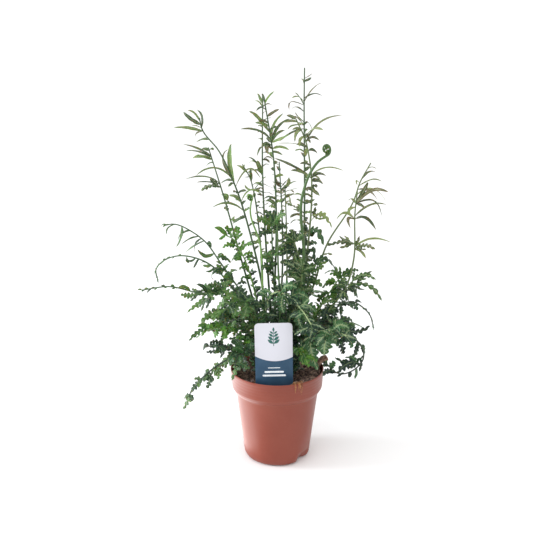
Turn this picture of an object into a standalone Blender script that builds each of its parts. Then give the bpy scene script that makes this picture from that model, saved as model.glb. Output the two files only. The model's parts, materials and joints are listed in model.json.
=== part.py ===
"""A silver brake fern in its nursery pot: pot, soil, label and every frond as solids of their own.

The plan of the plant is worked out in millimetres and the meshes are made in metres, +Z up. The
origin is the middle of the pot's flat underside. The front of the pot, with the label, faces -Y.
"""
import math
from random import Random

import bmesh
import bpy
from mathutils import Matrix, Vector
from mathutils.bvhtree import BVHTree
from mathutils.kdtree import KDTree

MM = 0.001
UP = Vector((0.0, 0.0, 1.0))

# Pot, in millimetres
POT_HEIGHT = 122.0
POT_WALL = 1.3
POT_FLOOR = 1.6
POT_SIDES = 28
RIM_RADIUS = 60.0
COLLAR_FOOT_RADIUS = 58.5
COLLAR_FOOT_HEIGHT = 98.6
BODY_TOP_RADIUS = 53.2
BODY_TOP_HEIGHT = 91.6
BODY_FOOT_RADIUS = 43.2
BODY_FOOT_HEIGHT = 11.0
BASE_RADIUS = 36.5
FOOT_SCOOPS = (-36.0, 144.0)
SCOOP_DEPTH = 6.5
SCOOP_HEIGHT = 17.0
SCOOP_HALF_ANGLE = 18.0
DRAIN_HOLES = 5
DRAIN_RING = 24.0
DRAIN_RADIUS = 3.0

# Soil, in millimetres
SOIL_TOP = 110.0
SOIL_RELIEF = 1.3
SOIL_SIDES = 20
FIT_GAP = 0.3

# Label, in millimetres
LABEL_WIDTH = 46.6
LABEL_TOP = 198.3
LABEL_THICK = 0.8
LABEL_DEPTH = -45.0
LABEL_CENTRE_X = -3.7
LABEL_TILT = 1.1
LABEL_CORNER = 5.0
LABEL_SHOULDER = 104.0
LABEL_POINT = 66.0

# Stems and leaflets, in millimetres
FOOT_BOTTOM = 96.0
HOLE_BOTTOM = FOOT_BOTTOM - FIT_GAP
FOOT_TOP = 113.0
FOOT_SPACING = 5.2
STEM_SIDES = 3
STEM_STEP = 9.0
STEM_TOLERANCE = 1.5
THIN_TRIANGLE = 0.006
SLIVER_ROUNDS = 6
# Tries to simplify a joined body: the angle below which neighbours are flat, and the shortest edge
SIMPLER = ((math.radians(1.0), 0.04), (math.radians(0.3), 0.03), (math.radians(0.1), 0.02), (0.0, 0.02),
           (0.0, 0.01), (0.0, 0.005))
TALL_FOOT_RADIUS = 1.45
LOW_FOOT_RADIUS = 1.25
STEM_TIP_RADIUS = 0.6
STEM_CLEARANCE = 0.8
FOOT_PULL = 0.22
PUSH_ROUNDS = 90
PUSH_REACH = 6.0
PUSH_SHARE = 0.35
BLADE_KEEL = 1.2
STRAP_KEEL = 1.0
ROOT_WIDTH = 0.8
LEAF_CLEARANCE = 0.45
COIL_STEPS = 14
COIL_TURN = math.radians(470.0)
COIL_CLOSING = 0.72
COIL_OVAL = (0.86, 1.15)
COIL_RISE = 1.2
COIL_START_SHARE = 0.62
COIL_END_SHARE = 0.4
SWAYS = (0.0, -5.0, 5.0, -10.0, 10.0, -16.0, 16.0, -23.0, 23.0, -30.0, 30.0)

# The point of view from which the places of the plant are given: column and row of a picture that
# is 533 wide and high, taken from this place, and the depth behind the pot's middle in millimetres
EYE = Vector((-13.7, -1100.0, 584.0))
EYE_PITCH = math.radians(16.56)
EYE_FOCUS = 919.0
EYE_CENTRE = 266.5


def sight_line(column, row):
    """Direction in which a column and row of the picture lie, scaled to one millimetre of depth."""
    right = (column - EYE_CENTRE) / EYE_FOCUS
    rise = (EYE_CENTRE - row) / EYE_FOCUS
    depth = math.cos(EYE_PITCH) + rise * math.sin(EYE_PITCH)
    height = rise * math.cos(EYE_PITCH) - math.sin(EYE_PITCH)
    return Vector((right, depth, height)) / depth


def place(column, row, depth):
    """Point of the plant seen at a column and row, at a depth behind the pot's middle."""
    return EYE + sight_line(column, row) * (depth - EYE.y)


def picture(point):
    """Column and row at which a point is seen."""
    away = point - EYE
    forward = away.y * math.cos(EYE_PITCH) - away.z * math.sin(EYE_PITCH)
    rise = away.y * math.sin(EYE_PITCH) + away.z * math.cos(EYE_PITCH)
    return EYE_CENTRE + EYE_FOCUS * away.x / forward, EYE_CENTRE - EYE_FOCUS * rise / forward


# Fronds, chosen by eye. A stem is a list of (column, row, depth). A leaflet is
# (root column, root row, middle column, middle row, tip column, tip row,
#  depth of the tip beyond its root, width, lobes on each side)
TALL_FRONDS = {
    "tall_centre": (
        [(297, 320, 6), (300, 270, 8), (301.5, 220, 11), (301.8, 169, 12), (301.9, 140, 12),
         (302.2, 118, 12), (304.2, 98, 12), (305.4, 84, 12), (304.6, 68, 12)],
        [(305.2, 80, 309, 76, 312.6, 73, -4, 1.8, 0), (305.4, 82, 308.6, 79, 311.4, 77.4, 5, 2.6, 0),
         (305.3, 85, 303, 80, 300.2, 79, 3, 2.2, 0), (304, 101, 312.5, 88.5, 322.5, 82.5, -6, 1.8, 0),
         (304, 99, 313.5, 93.5, 322.7, 96.2, 4, 2.0, 0), (303.2, 106, 291, 101.5, 289.3, 110.4, 6, 2.2, 0),
         (303.6, 103, 297.5, 96, 291.5, 98.6, -5, 2.2, 0), (303.4, 104, 299, 96, 294.6, 92.4, 2, 2.0, 0),
         (302.2, 124, 296.5, 117, 291.4, 120, -6, 3.2, 0), (302.1, 122, 298, 117, 295.4, 112, 4, 2.2, 0),
         (302, 126, 293.5, 125, 287.6, 129.6, -9, 1.8, 0), (302, 129, 291, 133, 279.4, 141.4, -12, 2.2, 0),
         (302.1, 125, 308.4, 122.5, 312.8, 132, 7, 2.2, 0), (302, 128, 297, 133, 294.6, 142, 9, 2.0, 0),
         (302, 131, 306.4, 134, 309.4, 142, 11, 2.2, 0), (301.9, 147, 290, 143, 278, 143.4, 7, 1.8, 0),
         (301.6, 213, 294, 206, 286.5, 203.4, 5, 6.2, 2), (301.5, 223, 296, 220, 290.4, 224, 8, 4.0, 0),
         (301.5, 217, 296, 214, 289.6, 218, -6, 3.4, 0)]),
    "tall_right": (
        [(300, 310, -4), (306.5, 262, -5), (308.7, 208, -6), (309.2, 175, -6), (308.8, 152, -6),
         (306, 142, -7), (301.6, 131, -9), (296, 119, -11)],
        [(305.5, 141, 320.5, 122, 342.6, 115.4, -10, 1.8, 0),
         (304.6, 138.5, 313, 129, 323.6, 130.4, -15, 3.6, 0),
         (306.4, 143, 312.4, 137, 319.8, 140.8, -3, 2.6, 0),
         (308.7, 151, 313.5, 150, 317.6, 154.4, 4, 3.0, 0),
         (308.3, 149, 306, 152, 305.2, 156.8, -7, 3.0, 0), (303.5, 136, 300, 140, 299.4, 147, -9, 2.6, 0),
         (300.6, 129, 296, 133, 295.4, 141, -14, 2.2, 0),
         (298, 123.5, 290.5, 121, 283.5, 122.6, -7, 2.8, 0),
         (309.2, 176, 326, 167.4, 343.9, 170.8, -7, 1.8, 0), (309.2, 177, 318, 173, 326.6, 176, 4, 3.2, 0),
         (309.2, 179, 316, 176.5, 320.8, 181, -10, 2.4, 0), (309.2, 181, 317, 180.5, 323.4, 184, 7, 4.4, 0),
         (309.2, 177, 300, 171.5, 290.6, 170.6, -6, 2.8, 0), (309.2, 180, 294, 166, 273.8, 158, 6, 2.8, 0),
         (309, 188, 313.4, 190.5, 319.9, 195.8, -5, 4.6, 0),
         (308.4, 221, 321.6, 214.5, 331.9, 228, -6, 6.0, 3)]),
    "tall_left": (
        [(268.7, 285, 4), (265.9, 243, 4), (264.5, 208, 4), (262.7, 180, 4), (263.5, 150, 4),
         (263.3, 112, 4), (262.6, 94, 4)],
        [(263.2, 105, 260, 98, 257.4, 93.2, -4, 3.0, 0),
         (263.3, 106, 258.5, 101.5, 253.8, 101.4, 5, 1.6, 0),
         (263.4, 147, 260, 148, 256.6, 157, -7, 2.4, 0), (262.8, 176, 256, 162, 247.6, 157, 5, 1.8, 0),
         (262.9, 174, 259, 166, 257, 160.4, -5, 4.4, 0), (263, 170, 254, 161, 248, 165, 9, 1.8, 0),
         (263.3, 160, 266.5, 160, 269.6, 163, -4, 3.2, 0), (262.8, 183, 268, 186, 273.6, 188, 7, 2.2, 0),
         (263.6, 194, 268, 192.4, 273.2, 195.4, 9, 2.6, 0),
         (262.8, 181, 258, 184.5, 253.4, 190.6, 2, 2.2, 0)]),
    "tall_middle": (
        [(274.3, 290, -8), (276.3, 243, -10), (276.1, 208, -10), (274.6, 180, -10), (272.6, 151, -10),
         (268.1, 130.2, -10), (265.4, 110, -10), (263.9, 97, -10)],
        [(264.6, 104, 268, 97.5, 274.6, 90.8, -4, 2.0, 0), (264.4, 102, 263.5, 97, 261.8, 93.4, 4, 1.8, 0),
         (268.6, 133.5, 258, 117.5, 249, 111.4, -6, 3.0, 0),
         (267.6, 128, 261.5, 123.5, 255, 122.4, 5, 3.0, 0), (269.8, 139, 257, 130, 240, 129.2, -9, 2.4, 0),
         (270.6, 142, 273, 126, 283.6, 113.2, -7, 2.4, 0), (270.8, 143, 278, 127, 289.8, 118.6, 6, 2.4, 0),
         (271, 144, 280, 139, 289.4, 134.4, -12, 3.0, 0),
         (270.9, 143.5, 277, 134, 285.2, 130.2, -2, 2.8, 0), (271.6, 147, 267, 146, 268, 155, -9, 4.0, 0),
         (271.2, 145, 266, 143, 261.2, 148, -5, 3.2, 0), (271.9, 148, 280, 146.6, 289.4, 150, -7, 2.8, 0),
         (272.5, 151, 277, 152, 283, 155, 5, 2.6, 0)]),
    "leaning_left": (
        [(263, 290, -4), (256, 258, -4), (246, 219.3, -4), (239.6, 202, -4), (235.6, 187, -4),
         (227.5, 170.8, -4), (218.6, 150.6, -4), (206.5, 135.9, -4), (201.6, 128, -4), (199.4, 118, -4)],
        [(201.4, 127, 201.8, 116, 196.9, 109.6, 3, 2.0, 0),
         (200.4, 122, 194, 112.5, 187.4, 110.6, -4, 2.0, 0),
         (200.8, 124, 191, 119, 183.2, 111.8, 6, 3.4, 0),
         (202.4, 129.5, 197, 126, 191.6, 125.6, -6, 2.2, 0),
         (204, 132.5, 188.5, 127.8, 173.6, 127.4, -2, 3.2, 0), (203, 131, 197, 133, 194.8, 138, 5, 2.2, 0),
         (210, 139.8, 203.3, 139, 195.8, 142.2, 6, 2.4, 0),
         (234.6, 184, 230, 160, 231.5, 143.4, -7, 4.8, 0), (232.5, 180, 223, 160, 228.8, 149, 7, 2.0, 0),
         (231.5, 178, 214, 167.5, 195.4, 176, -9, 2.4, 0), (233.6, 182, 227, 180, 220.3, 183.6, 5, 2.4, 0),
         (235, 185, 231.5, 184, 228.2, 187, -4, 3.6, 0), (235.2, 186, 248.5, 169, 260.9, 179.2, -8, 2.0, 0),
         (239.4, 201.5, 234.5, 196.5, 228, 195, 5, 2.2, 0), (240, 203, 250, 190, 262.8, 195.2, -7, 2.0, 0),
         (243.8, 213, 229, 203, 211.8, 207.6, -7, 2.6, 0), (246, 219.5, 239, 219, 232.4, 224, 4, 3.8, 0)]),
    "leaning_left_low": (
        [(247, 282, 12), (238, 248, 12), (230, 219, 12), (224.3, 198.9, 12), (218.6, 184.2, 12),
         (215.4, 168.3, 12), (211.6, 157.4, 12), (208.4, 147.6, 12)],
        [(209, 149.5, 204, 148, 199.6, 151, 5, 3.8, 0),
         (209.2, 150, 211.6, 148.8, 213.9, 150.2, -4, 3.2, 0),
         (210.8, 155, 200, 149.5, 182.4, 144, -4, 3.0, 0), (211.2, 156, 198, 151.5, 186, 150.6, 8, 2.2, 0),
         (212, 159, 201, 156.5, 192.2, 158.4, 3, 4.6, 0),
         (211.6, 157.4, 203, 155.5, 196, 153.8, -8, 2.6, 0),
         (214, 163.5, 209.5, 163, 205.6, 167, 4, 2.2, 0),
         (219, 185.5, 205, 176.5, 184.3, 179.6, -5, 2.4, 0),
         (218.6, 184, 207, 181.5, 196.2, 182.4, 6, 1.8, 0),
         (219.8, 188, 210, 185, 201.2, 190.8, -3, 7.0, 2),
         (221.4, 192, 225.6, 195, 227.9, 200.8, 4, 5.6, 0)]),
    "slim_left": (
        [(262, 280, 16), (260, 240, 16), (256.8, 209.7, 15), (253, 188.7, 14), (250.5, 179.1, 14),
         (242.4, 164.6, 14)],
        [(247.6, 174, 242, 167.5, 236.2, 165, 4, 2.8, 0), (249.2, 177, 246, 177, 242.6, 176.8, -4, 2.6, 0),
         (251.2, 182, 251, 175, 250, 168, -9, 3.4, 0), (253.2, 190, 248, 189, 244.6, 184, 6, 2.4, 0)]),
    "upright_right": (
        [(300, 338, -9), (324, 312, -12), (343, 292, -14), (352.3, 268, -14), (354.2, 242, -13),
         (354.8, 222, -12), (355.6, 204, -12), (357.4, 191, -12)],
        [(354.1, 245, 341, 242, 327.8, 245.4, 7, 5.4, 2),
         (354.2, 243.5, 346, 240.5, 339, 235.5, -7, 3.8, 0),
         (353.9, 250, 364, 245, 375.5, 249.6, -5, 5.4, 2), (354, 247, 372, 238.5, 392, 242.9, 5, 2.2, 0),
         (353.9, 249, 360, 251, 366, 258.8, -9, 4.0, 0), (354.8, 220, 366, 218.4, 376.3, 230.5, -5, 4.0, 0),
         (354.9, 218, 345, 212.8, 336.1, 219.8, 5, 3.0, 0), (354.9, 219, 348, 219, 350.8, 229, -6, 3.0, 0),
         (355, 216, 371, 204.4, 387, 204.8, 9, 2.0, 0), (355.8, 203, 364, 190.5, 367.9, 182, -5, 3.4, 0),
         (355.8, 204, 372, 190.5, 388.8, 192.4, -8, 4.0, 0),
         (355.8, 203, 374, 200.5, 382, 217.3, 4, 2.2, 0),
         (355.7, 205, 361, 205.6, 364.2, 208.4, -6, 4.0, 0),
         (355.8, 202, 351.5, 199, 348.6, 200.8, 5, 2.8, 0),
         (355.5, 207, 349, 210, 352.6, 216.6, -7, 2.8, 0)]),
    "slanted_right": (
        [(298, 318, 5), (312.2, 288.8, 6), (319.9, 262.8, 6), (326.2, 246, 6), (341.7, 219.3, 6),
         (354.4, 199, 6), (359.8, 183, 6), (370.8, 163, 6)],
        [(364, 174, 370, 167.4, 377.2, 169.4, -5, 2.0, 0),
         (361.6, 178, 368.5, 171.8, 375.9, 172.4, 5, 2.0, 0),
         (359, 186, 372, 179.4, 382, 181.8, -4, 2.2, 0), (357.6, 190, 370, 191.5, 377.9, 201.5, 5, 3.4, 0),
         (356.4, 194, 373, 189, 387, 203.4, 12, 2.2, 0),
         (360.2, 181.5, 356.4, 181, 357.4, 186, -4, 1.8, 0)]),
    "slim_centre": (
        [(281, 300, 18), (282.7, 239, 18), (281.3, 201, 18), (280.4, 186, 18), (279.2, 162, 18)],
        [(280.6, 189, 286, 181, 291.2, 176.2, -5, 3.2, 0), (280.8, 192, 289, 184, 297.6, 181, 4, 3.0, 0),
         (281, 195, 290, 190, 300.4, 187.4, -9, 3.0, 0), (280.6, 189, 277, 183, 275.6, 176.6, 6, 3.2, 0),
         (281.2, 198, 277, 196, 272.6, 199, -5, 3.0, 0)]),
    "slim_right": (
        [(287, 290, 24), (286.9, 257, 24), (286.2, 222, 24), (285, 204, 23), (285, 186, 22)],
        [(285, 192, 290, 190, 294.4, 193, -5, 3.4, 0), (285, 196, 289, 197, 289.8, 203, 5, 3.4, 0),
         (285, 190, 280, 188, 276, 190.6, 7, 3.4, 0), (285, 188, 288.6, 183, 288.4, 177.4, -8, 3.4, 0)]),
}

LOW_FRONDS = {
    "arch_left_high": (
        [(262, 335, -10), (243, 300, -11), (227.5, 274.6, -12), (215.3, 255, -14), (204.4, 241, -15),
         (193.2, 232.5, -16), (181.2, 227.6, -17), (172.1, 224.1, -17), (163.8, 225.6, -18)],
        [(174, 225, 167.5, 228, 167, 235, -4, 2.0, 0), (181, 227.6, 181, 236, 176, 247.5, -5, 3.0, 0),
         (191, 231.6, 182, 233.5, 177.4, 241.6, 5, 3.0, 0),
         (200, 237.6, 191, 237.8, 180.8, 244.4, -5, 2.2, 0), (202, 239, 195.6, 244, 194.4, 254, 6, 2.8, 0),
         (203, 240, 194, 246, 185.2, 253, 12, 2.6, 0), (206, 242.6, 209.5, 243, 211.6, 247.6, -6, 3.0, 0),
         (214.6, 254, 205, 256, 197.2, 249.2, -4, 4.6, 0), (218, 259, 224, 257.5, 231, 263.6, 5, 6.6, 2),
         (224, 269, 217, 268.5, 212.5, 274.5, -5, 6.0, 2)]),
    "arch_left_middle": (
        [(258, 330, 8), (236, 294, 9), (222, 275, 10), (209.3, 264.1, 10), (200.2, 259.9, 10),
         (185.4, 255.7, 10), (172.1, 257.1, 10), (160.2, 263.4, 10), (155.9, 270, 10), (157.4, 278.4, 10)],
        [(198.5, 259.4, 196, 262.5, 193.4, 268.6, -5, 3.0, 0),
         (188, 256.2, 186.5, 259.5, 189.4, 263, 5, 3.4, 0),
         (195, 258.2, 190.5, 261, 184.4, 259.6, -4, 3.6, 0), (212, 266, 207, 266, 202.8, 264.8, 5, 3.8, 0),
         (214.5, 268, 209, 271, 204, 270.4, -5, 4.0, 0), (217, 270.5, 211.5, 275, 214.2, 280.2, 4, 3.0, 0),
         (224, 277.5, 229, 276.5, 232, 282.8, -6, 7.4, 2), (230, 286, 222, 283, 217, 289, 6, 6.4, 2)]),
    "arch_left_low": (
        [(256, 335, -20), (240, 303, -22), (228.2, 293, -24), (217.7, 292.2, -25), (200.2, 293, -26),
         (189.6, 290.8, -27), (168.6, 286.6, -28), (156, 289, -28), (141.9, 290.1, -29)],
        [(207, 292.5, 203, 286.5, 196, 284.4, -5, 3.6, 0),
         (212, 292.4, 207, 286.5, 202.6, 287.6, 5, 6.4, 2), (219, 292.4, 214, 286, 209, 284.6, -4, 6.4, 2),
         (200, 293, 190, 295, 180.6, 294.2, 4, 6.0, 2), (192, 291.4, 185, 286.5, 177.6, 287.6, -4, 4.0, 0),
         (206, 292.8, 198, 303, 186.6, 312.6, -5, 4.4, 2), (215, 292.4, 205, 301, 197, 307.6, 7, 6.0, 2),
         (226, 293, 219, 286, 214, 280.5, 7, 6.0, 2)]),
    "low_left_broad": (
        [(258, 352, -26), (242, 326, -28), (232, 318, -30), (223, 317.5, -32), (214, 317.2, -33)],
        [(217, 317.2, 209, 315.5, 201.3, 323, -3, 8.6, 2), (224, 317.5, 220, 322, 215.4, 325, -5, 6.4, 2),
         (227, 317.6, 221, 310.5, 214.6, 310, 4, 6.4, 2), (233, 319, 228, 311, 224, 305, -5, 6.6, 2),
         (236, 321, 233, 326, 227, 326.6, 6, 6.0, 2)]),
    "low_left_bright": (
        [(262, 358, -30), (244, 338, -32), (232, 330.6, -34), (219, 328.5, -35), (206, 327, -36)],
        [(209, 327.4, 203, 325, 197, 327.6, 3, 4.0, 0), (210, 327.4, 200, 331, 188.8, 341, -6, 5.0, 2),
         (218, 328.4, 216.4, 332, 214.6, 337.6, 4, 6.6, 2),
         (226, 329.6, 225.4, 333, 224.2, 339, -6, 6.8, 2), (222, 329, 218, 323.5, 212, 322.6, 6, 5.4, 2),
         (238, 334, 240, 339, 238.4, 346, 5, 6.6, 2)]),
    "low_left_dark": (
        [(266, 366, -36), (248, 352, -37), (232, 347.2, -39), (218, 346.4, -41), (206, 346, -42)],
        [(209, 346.2, 205, 345.4, 203, 350.8, 2, 4.4, 0), (224, 346.6, 217, 341.6, 209.6, 343, -4, 4.4, 2),
         (227, 346.8, 217, 351, 206.2, 351.8, 5, 4.6, 2), (221, 346.4, 218, 350.5, 214.6, 354, -5, 4.0, 0),
         (236, 348, 231, 354, 230.4, 361, -4, 5.6, 2), (240, 349.4, 236, 341, 229, 338, 6, 5.6, 2)]),
    "trailing_left": (
        [(262, 362, -11), (247, 354, -13), (234, 358, -15), (227, 364.4, -16), (218.9, 368.7, -18),
         (209, 374, -20), (200, 380, -21), (192.5, 388.4, -22), (189, 396, -22)],
        [(191, 392, 188.5, 399, 182.8, 409, -1, 7.4, 2), (222, 367.4, 215, 368, 208.6, 376.4, 4, 6.6, 2),
         (211, 373, 209.4, 381, 206.3, 388.2, -5, 6.6, 2), (212, 372.4, 205, 375, 199.4, 382.6, 5, 6.4, 2),
         (203, 378, 196.5, 384, 191.4, 391.8, -4, 6.8, 2),
         (219.5, 368.6, 219, 373.6, 217.8, 379.2, -5, 4.8, 2),
         (229, 362.4, 223.5, 364, 217.4, 366.4, 6, 6.6, 2),
         (234, 358.4, 231.4, 354, 227.6, 361.8, -6, 5.6, 2),
         (238, 356.6, 236.4, 366, 231, 380.6, -9, 6.4, 2)]),
    "light_right_top": (
        [(300, 345, -16), (320, 307, -20), (334, 288, -23), (340, 277, -25)],
        [(339, 279, 349, 270.5, 358.6, 270.6, -4, 6.4, 2), (336.6, 284, 329, 282, 321.6, 287.6, 4, 7.6, 2),
         (334, 288, 335, 296, 330, 302, -5, 7.4, 2), (339.4, 278, 333, 270.5, 324.2, 273.6, 6, 4.4, 2),
         (338.6, 280, 342.4, 285, 344.4, 291.4, -6, 5.0, 0), (330, 293.6, 322, 295, 318, 302, 6, 7.0, 2)]),
    "striped_right": (
        [(304, 352, -14), (327, 313, -18), (342, 293, -21), (350.8, 283.4, -23)],
        [(350.2, 284, 363, 275, 376.2, 280.4, -4, 5.0, 3), (349.6, 285, 368, 285, 382, 300.8, -8, 5.6, 3),
         (347.4, 287.4, 354, 289, 357.9, 297.6, 5, 8.0, 2), (345, 290, 341, 294.5, 340, 300, -6, 6.4, 2),
         (344, 291.4, 347, 295.5, 348.8, 302.4, 6, 7.4, 2),
         (348.6, 286.2, 344, 281, 346, 274.4, 9, 6.0, 2)]),
    "chain_right": (
        [(304, 342, 2), (327, 318, 1), (343, 304, -2), (350, 301.5, -3), (358.5, 304.8, -4),
         (366.3, 310.2, -5), (371.6, 318.6, -6), (373.6, 328, -7)],
        [(348, 302, 354, 305, 357.4, 310.4, -5, 7.4, 2), (344, 303.6, 341, 309, 341.6, 317, 5, 7.4, 2),
         (339, 307.4, 334, 312, 335, 319.6, -6, 7.2, 2), (354, 302.8, 358, 300.6, 362.4, 303.4, 4, 3.2, 0),
         (335, 310.6, 328, 310, 325.6, 316.4, 6, 6.6, 2)]),
    "palmate_right": (
        [(290, 358, -34), (305, 340, -38), (316, 332.6, -42), (326, 330.4, -45), (336, 331.2, -47),
         (346, 336, -49)],
        [(320, 331.6, 307, 328.6, 294, 334.8, -3, 8.0, 3),
         (324.8, 330.8, 324.8, 342, 324, 355, -3, 15.0, 3), (318, 332.2, 311, 336, 308, 343, 4, 8.0, 2),
         (329, 330.6, 334.6, 336, 335.6, 344.6, 5, 9.0, 2), (333, 331, 340, 325, 349, 328.4, -4, 8.0, 2),
         (343, 334.6, 350, 336.4, 357.4, 340, 4, 6.8, 2),
         (310, 336.4, 311.4, 352, 317.9, 370, 2, 11.0, 3)]),
    "pointed_right": (
        [(298, 348, -24), (320, 326, -30), (336, 321.6, -33), (346, 326, -34)],
        [(344, 325, 355, 332, 370.4, 326, -4, 6.6, 3), (340, 323, 348, 319, 352.6, 322.6, 5, 6.0, 2),
         (332, 322.4, 330, 329, 333.6, 335, 6, 6.4, 2), (326, 323.6, 324, 314, 328, 306.6, -5, 6.4, 2)]),
    "loop_right": (
        [(294, 362, -28), (318, 343, -34), (340, 334.6, -38), (352, 337, -40), (358.8, 343, -41),
         (363.4, 351, -42), (363.2, 359, -43), (358.5, 366, -44), (351, 371.5, -45), (342, 374, -46),
         (334, 371.5, -47), (327.5, 364.3, -48)],
        [(344, 334.6, 341.6, 344, 343.2, 354.4, 4, 9.0, 3),
         (348, 335.4, 351, 340.5, 350.6, 348.4, -5, 6.6, 2),
         (357, 341, 357.4, 350, 352.2, 357.4, 5, 5.6, 2), (363.4, 355, 350, 363, 334.4, 356.6, 6, 5.4, 3),
         (360, 364, 349, 363, 337.6, 372.2, -5, 8.6, 3), (356, 368, 356.6, 374, 354.8, 379.4, 4, 4.0, 0),
         (350, 371.8, 350, 374.6, 348.6, 377.4, -4, 3.4, 0),
         (361.4, 347, 363.6, 348.6, 365, 354, 4, 4.4, 2)]),
    "young_front": (
        [(287, 372, -34), (291, 356, -39), (297, 348.4, -43), (302, 351, -46), (305.4, 357.6, -48)],
        [(303.6, 354, 306, 360, 308.8, 367.4, -1, 5.6, 2), (298.6, 349, 297, 352, 297.4, 356, -4, 4.4, 0),
         (301.4, 350.6, 305.4, 350.4, 308.6, 353.6, 4, 4.4, 0),
         (303.4, 353.6, 301.6, 358.6, 303.2, 363.6, -5, 4.6, 0),
         (304.8, 356.4, 309.4, 357, 311.8, 361.6, 4, 4.4, 0),
         (294.6, 351.4, 290.6, 349, 288, 353, 3, 4.4, 0)]),
    "long_front": (
        [(272, 346, -20), (266, 312, -27), (272, 294, -33), (281, 292.4, -37), (293, 301, -42),
         (303, 311.4, -45), (311, 324.4, -48)],
        [(280, 292.4, 287.6, 285.6, 297, 287.8, -4, 8.0, 2), (289, 298, 299, 294, 309, 299, 4, 9.0, 3),
         (298, 306, 307.4, 305, 315, 312, -4, 9.0, 2), (284, 294.4, 281.4, 303, 283.6, 313, 5, 8.4, 2),
         (293, 301, 289.4, 309.6, 292.4, 319.6, -5, 9.0, 3),
         (301, 309, 298.4, 318, 302.4, 328.6, 4, 8.0, 2),
         (309, 320.6, 311.4, 328, 310, 336.6, -2, 8.4, 2)]),
    "long_front_left": (
        [(264, 352, -22), (258, 322, -27), (250, 305, -32), (240, 300.4, -36), (229, 306, -40),
         (222, 314, -42)],
        [(249, 304.2, 243, 294, 236, 292.6, 4, 8.0, 2), (240, 300.4, 232, 296, 223, 299.6, -4, 8.0, 2),
         (231, 304.8, 223, 303.4, 217, 309, 4, 7.0, 2), (245, 302, 246, 311, 241.6, 319, -5, 9.0, 3),
         (236, 302, 236.4, 310, 232, 317.6, 5, 8.0, 2), (252, 309, 259.4, 303, 266.6, 305, 4, 8.0, 2),
         (255, 315, 252, 324, 246.6, 330.4, -5, 8.6, 2), (256.4, 318, 264, 316, 270.6, 320.6, -6, 8.0, 2)]),
    "front_left": (
        [(262, 374, -30), (252, 358, -36), (244, 353, -41), (237, 358.4, -46), (235, 366, -49)],
        [(248, 355, 250.6, 345, 247.6, 336, 4, 7.6, 2), (244, 353, 238, 348, 232, 350, -4, 6.6, 2),
         (241, 355, 244.6, 362, 243.8, 371.4, 5, 6.6, 2), (237.4, 358, 232, 359.4, 229.4, 366, -4, 6.0, 2),
         (250.4, 356.6, 252.6, 364, 251.6, 374, -6, 6.6, 2)]),
    "middle_striped": (
        [(290, 318, -14), (300.4, 264, -14), (297.5, 252, -14), (294.4, 242, -15)],
        [(294.8, 243.4, 288, 236.4, 281.2, 234.6, -4, 7.0, 2),
         (294.4, 242, 293.4, 234.6, 290.2, 229.4, 5, 7.0, 2),
         (294.8, 243, 299, 236.6, 304, 233.6, -8, 6.0, 2),
         (295.8, 247, 287, 243.4, 279.4, 246.8, 4, 7.4, 2),
         (297.2, 251, 287.4, 249.6, 278.6, 255.4, -5, 8.0, 3),
         (298.4, 256, 304.4, 252, 309.4, 253, 6, 6.6, 2)]),
    "middle_dark": (
        [(293, 322, -10), (304.5, 264, -12), (305.4, 250, -13), (305.6, 236, -14)],
        [(305.6, 239, 315, 229, 323.8, 245.4, -5, 9.6, 3),
         (305.5, 247, 311, 242.4, 317.6, 243.6, 4, 5.4, 2),
         (305.4, 252, 310, 251.4, 314.4, 247, -7, 4.6, 2),
         (305.6, 237, 302, 231, 297.4, 231.6, 6, 5.6, 2)]),
    "middle_ribbed": (
        [(286, 330, -24), (300.4, 292, -25), (302, 276, -26), (302.6, 266, -26)],
        [(302.2, 274, 291.6, 265, 279.8, 262, -5, 7.4, 3), (301.8, 277, 292, 271.4, 281, 276.6, 5, 7.0, 2),
         (302.4, 270, 299, 264.6, 293.8, 262.6, -9, 5.6, 2),
         (301.4, 280, 294, 283.4, 287.4, 289, 6, 7.0, 2)]),
    "middle_forked": (
        [(290, 336, -18), (305, 296, -18), (309.6, 278, -18), (310.4, 270, -18)],
        [(310, 274, 306.6, 268.4, 305.2, 262.4, 4, 5.0, 0),
         (310.2, 272, 311.4, 266.6, 312.6, 262.2, -4, 4.6, 0),
         (310, 275, 317, 269, 324.2, 266.2, -6, 5.8, 2), (310.2, 273, 324, 258, 337, 273.4, 6, 6.0, 3),
         (309, 281, 316, 281, 322, 286.6, -5, 6.6, 2)]),
    "bright_left": (
        [(262, 320, 0), (247, 272, -3), (240, 250, -6), (233, 239, -8), (225, 235, -9)],
        [(227, 236, 220.4, 229, 214.2, 227.2, 4, 4.2, 0),
         (230, 237, 229.4, 230.4, 224.4, 226.8, -5, 6.6, 2),
         (225.6, 235.4, 221.4, 237.6, 219, 239.6, -4, 4.4, 0),
         (235, 241.4, 237.4, 233, 236.4, 225.4, 5, 6.6, 2), (238, 246, 230, 244, 222.4, 247.6, -5, 6.6, 2),
         (242, 256, 236, 257, 231, 262, 6, 6.6, 2), (240, 250, 246.4, 244, 252.6, 244.4, -7, 6.0, 2)]),
    "broad_middle": (
        [(276, 320, -16), (273, 270, -18), (272, 236, -19), (271.6, 224, -20)],
        [(271.8, 227, 264, 219, 256.4, 219.6, -4, 7.0, 2), (271.8, 225, 270, 216, 264.6, 209.8, 5, 7.0, 2),
         (271.8, 226, 278, 217.4, 285.4, 214.4, -6, 7.4, 2), (272, 230, 280, 225, 288, 228, 5, 7.0, 2),
         (272, 233, 265, 231, 259, 236.4, -6, 6.6, 2), (273, 262, 266, 255.6, 259.8, 257, 6, 6.0, 2),
         (273.2, 270, 266.4, 266, 261, 270, -6, 6.4, 2)]),
}

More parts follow.
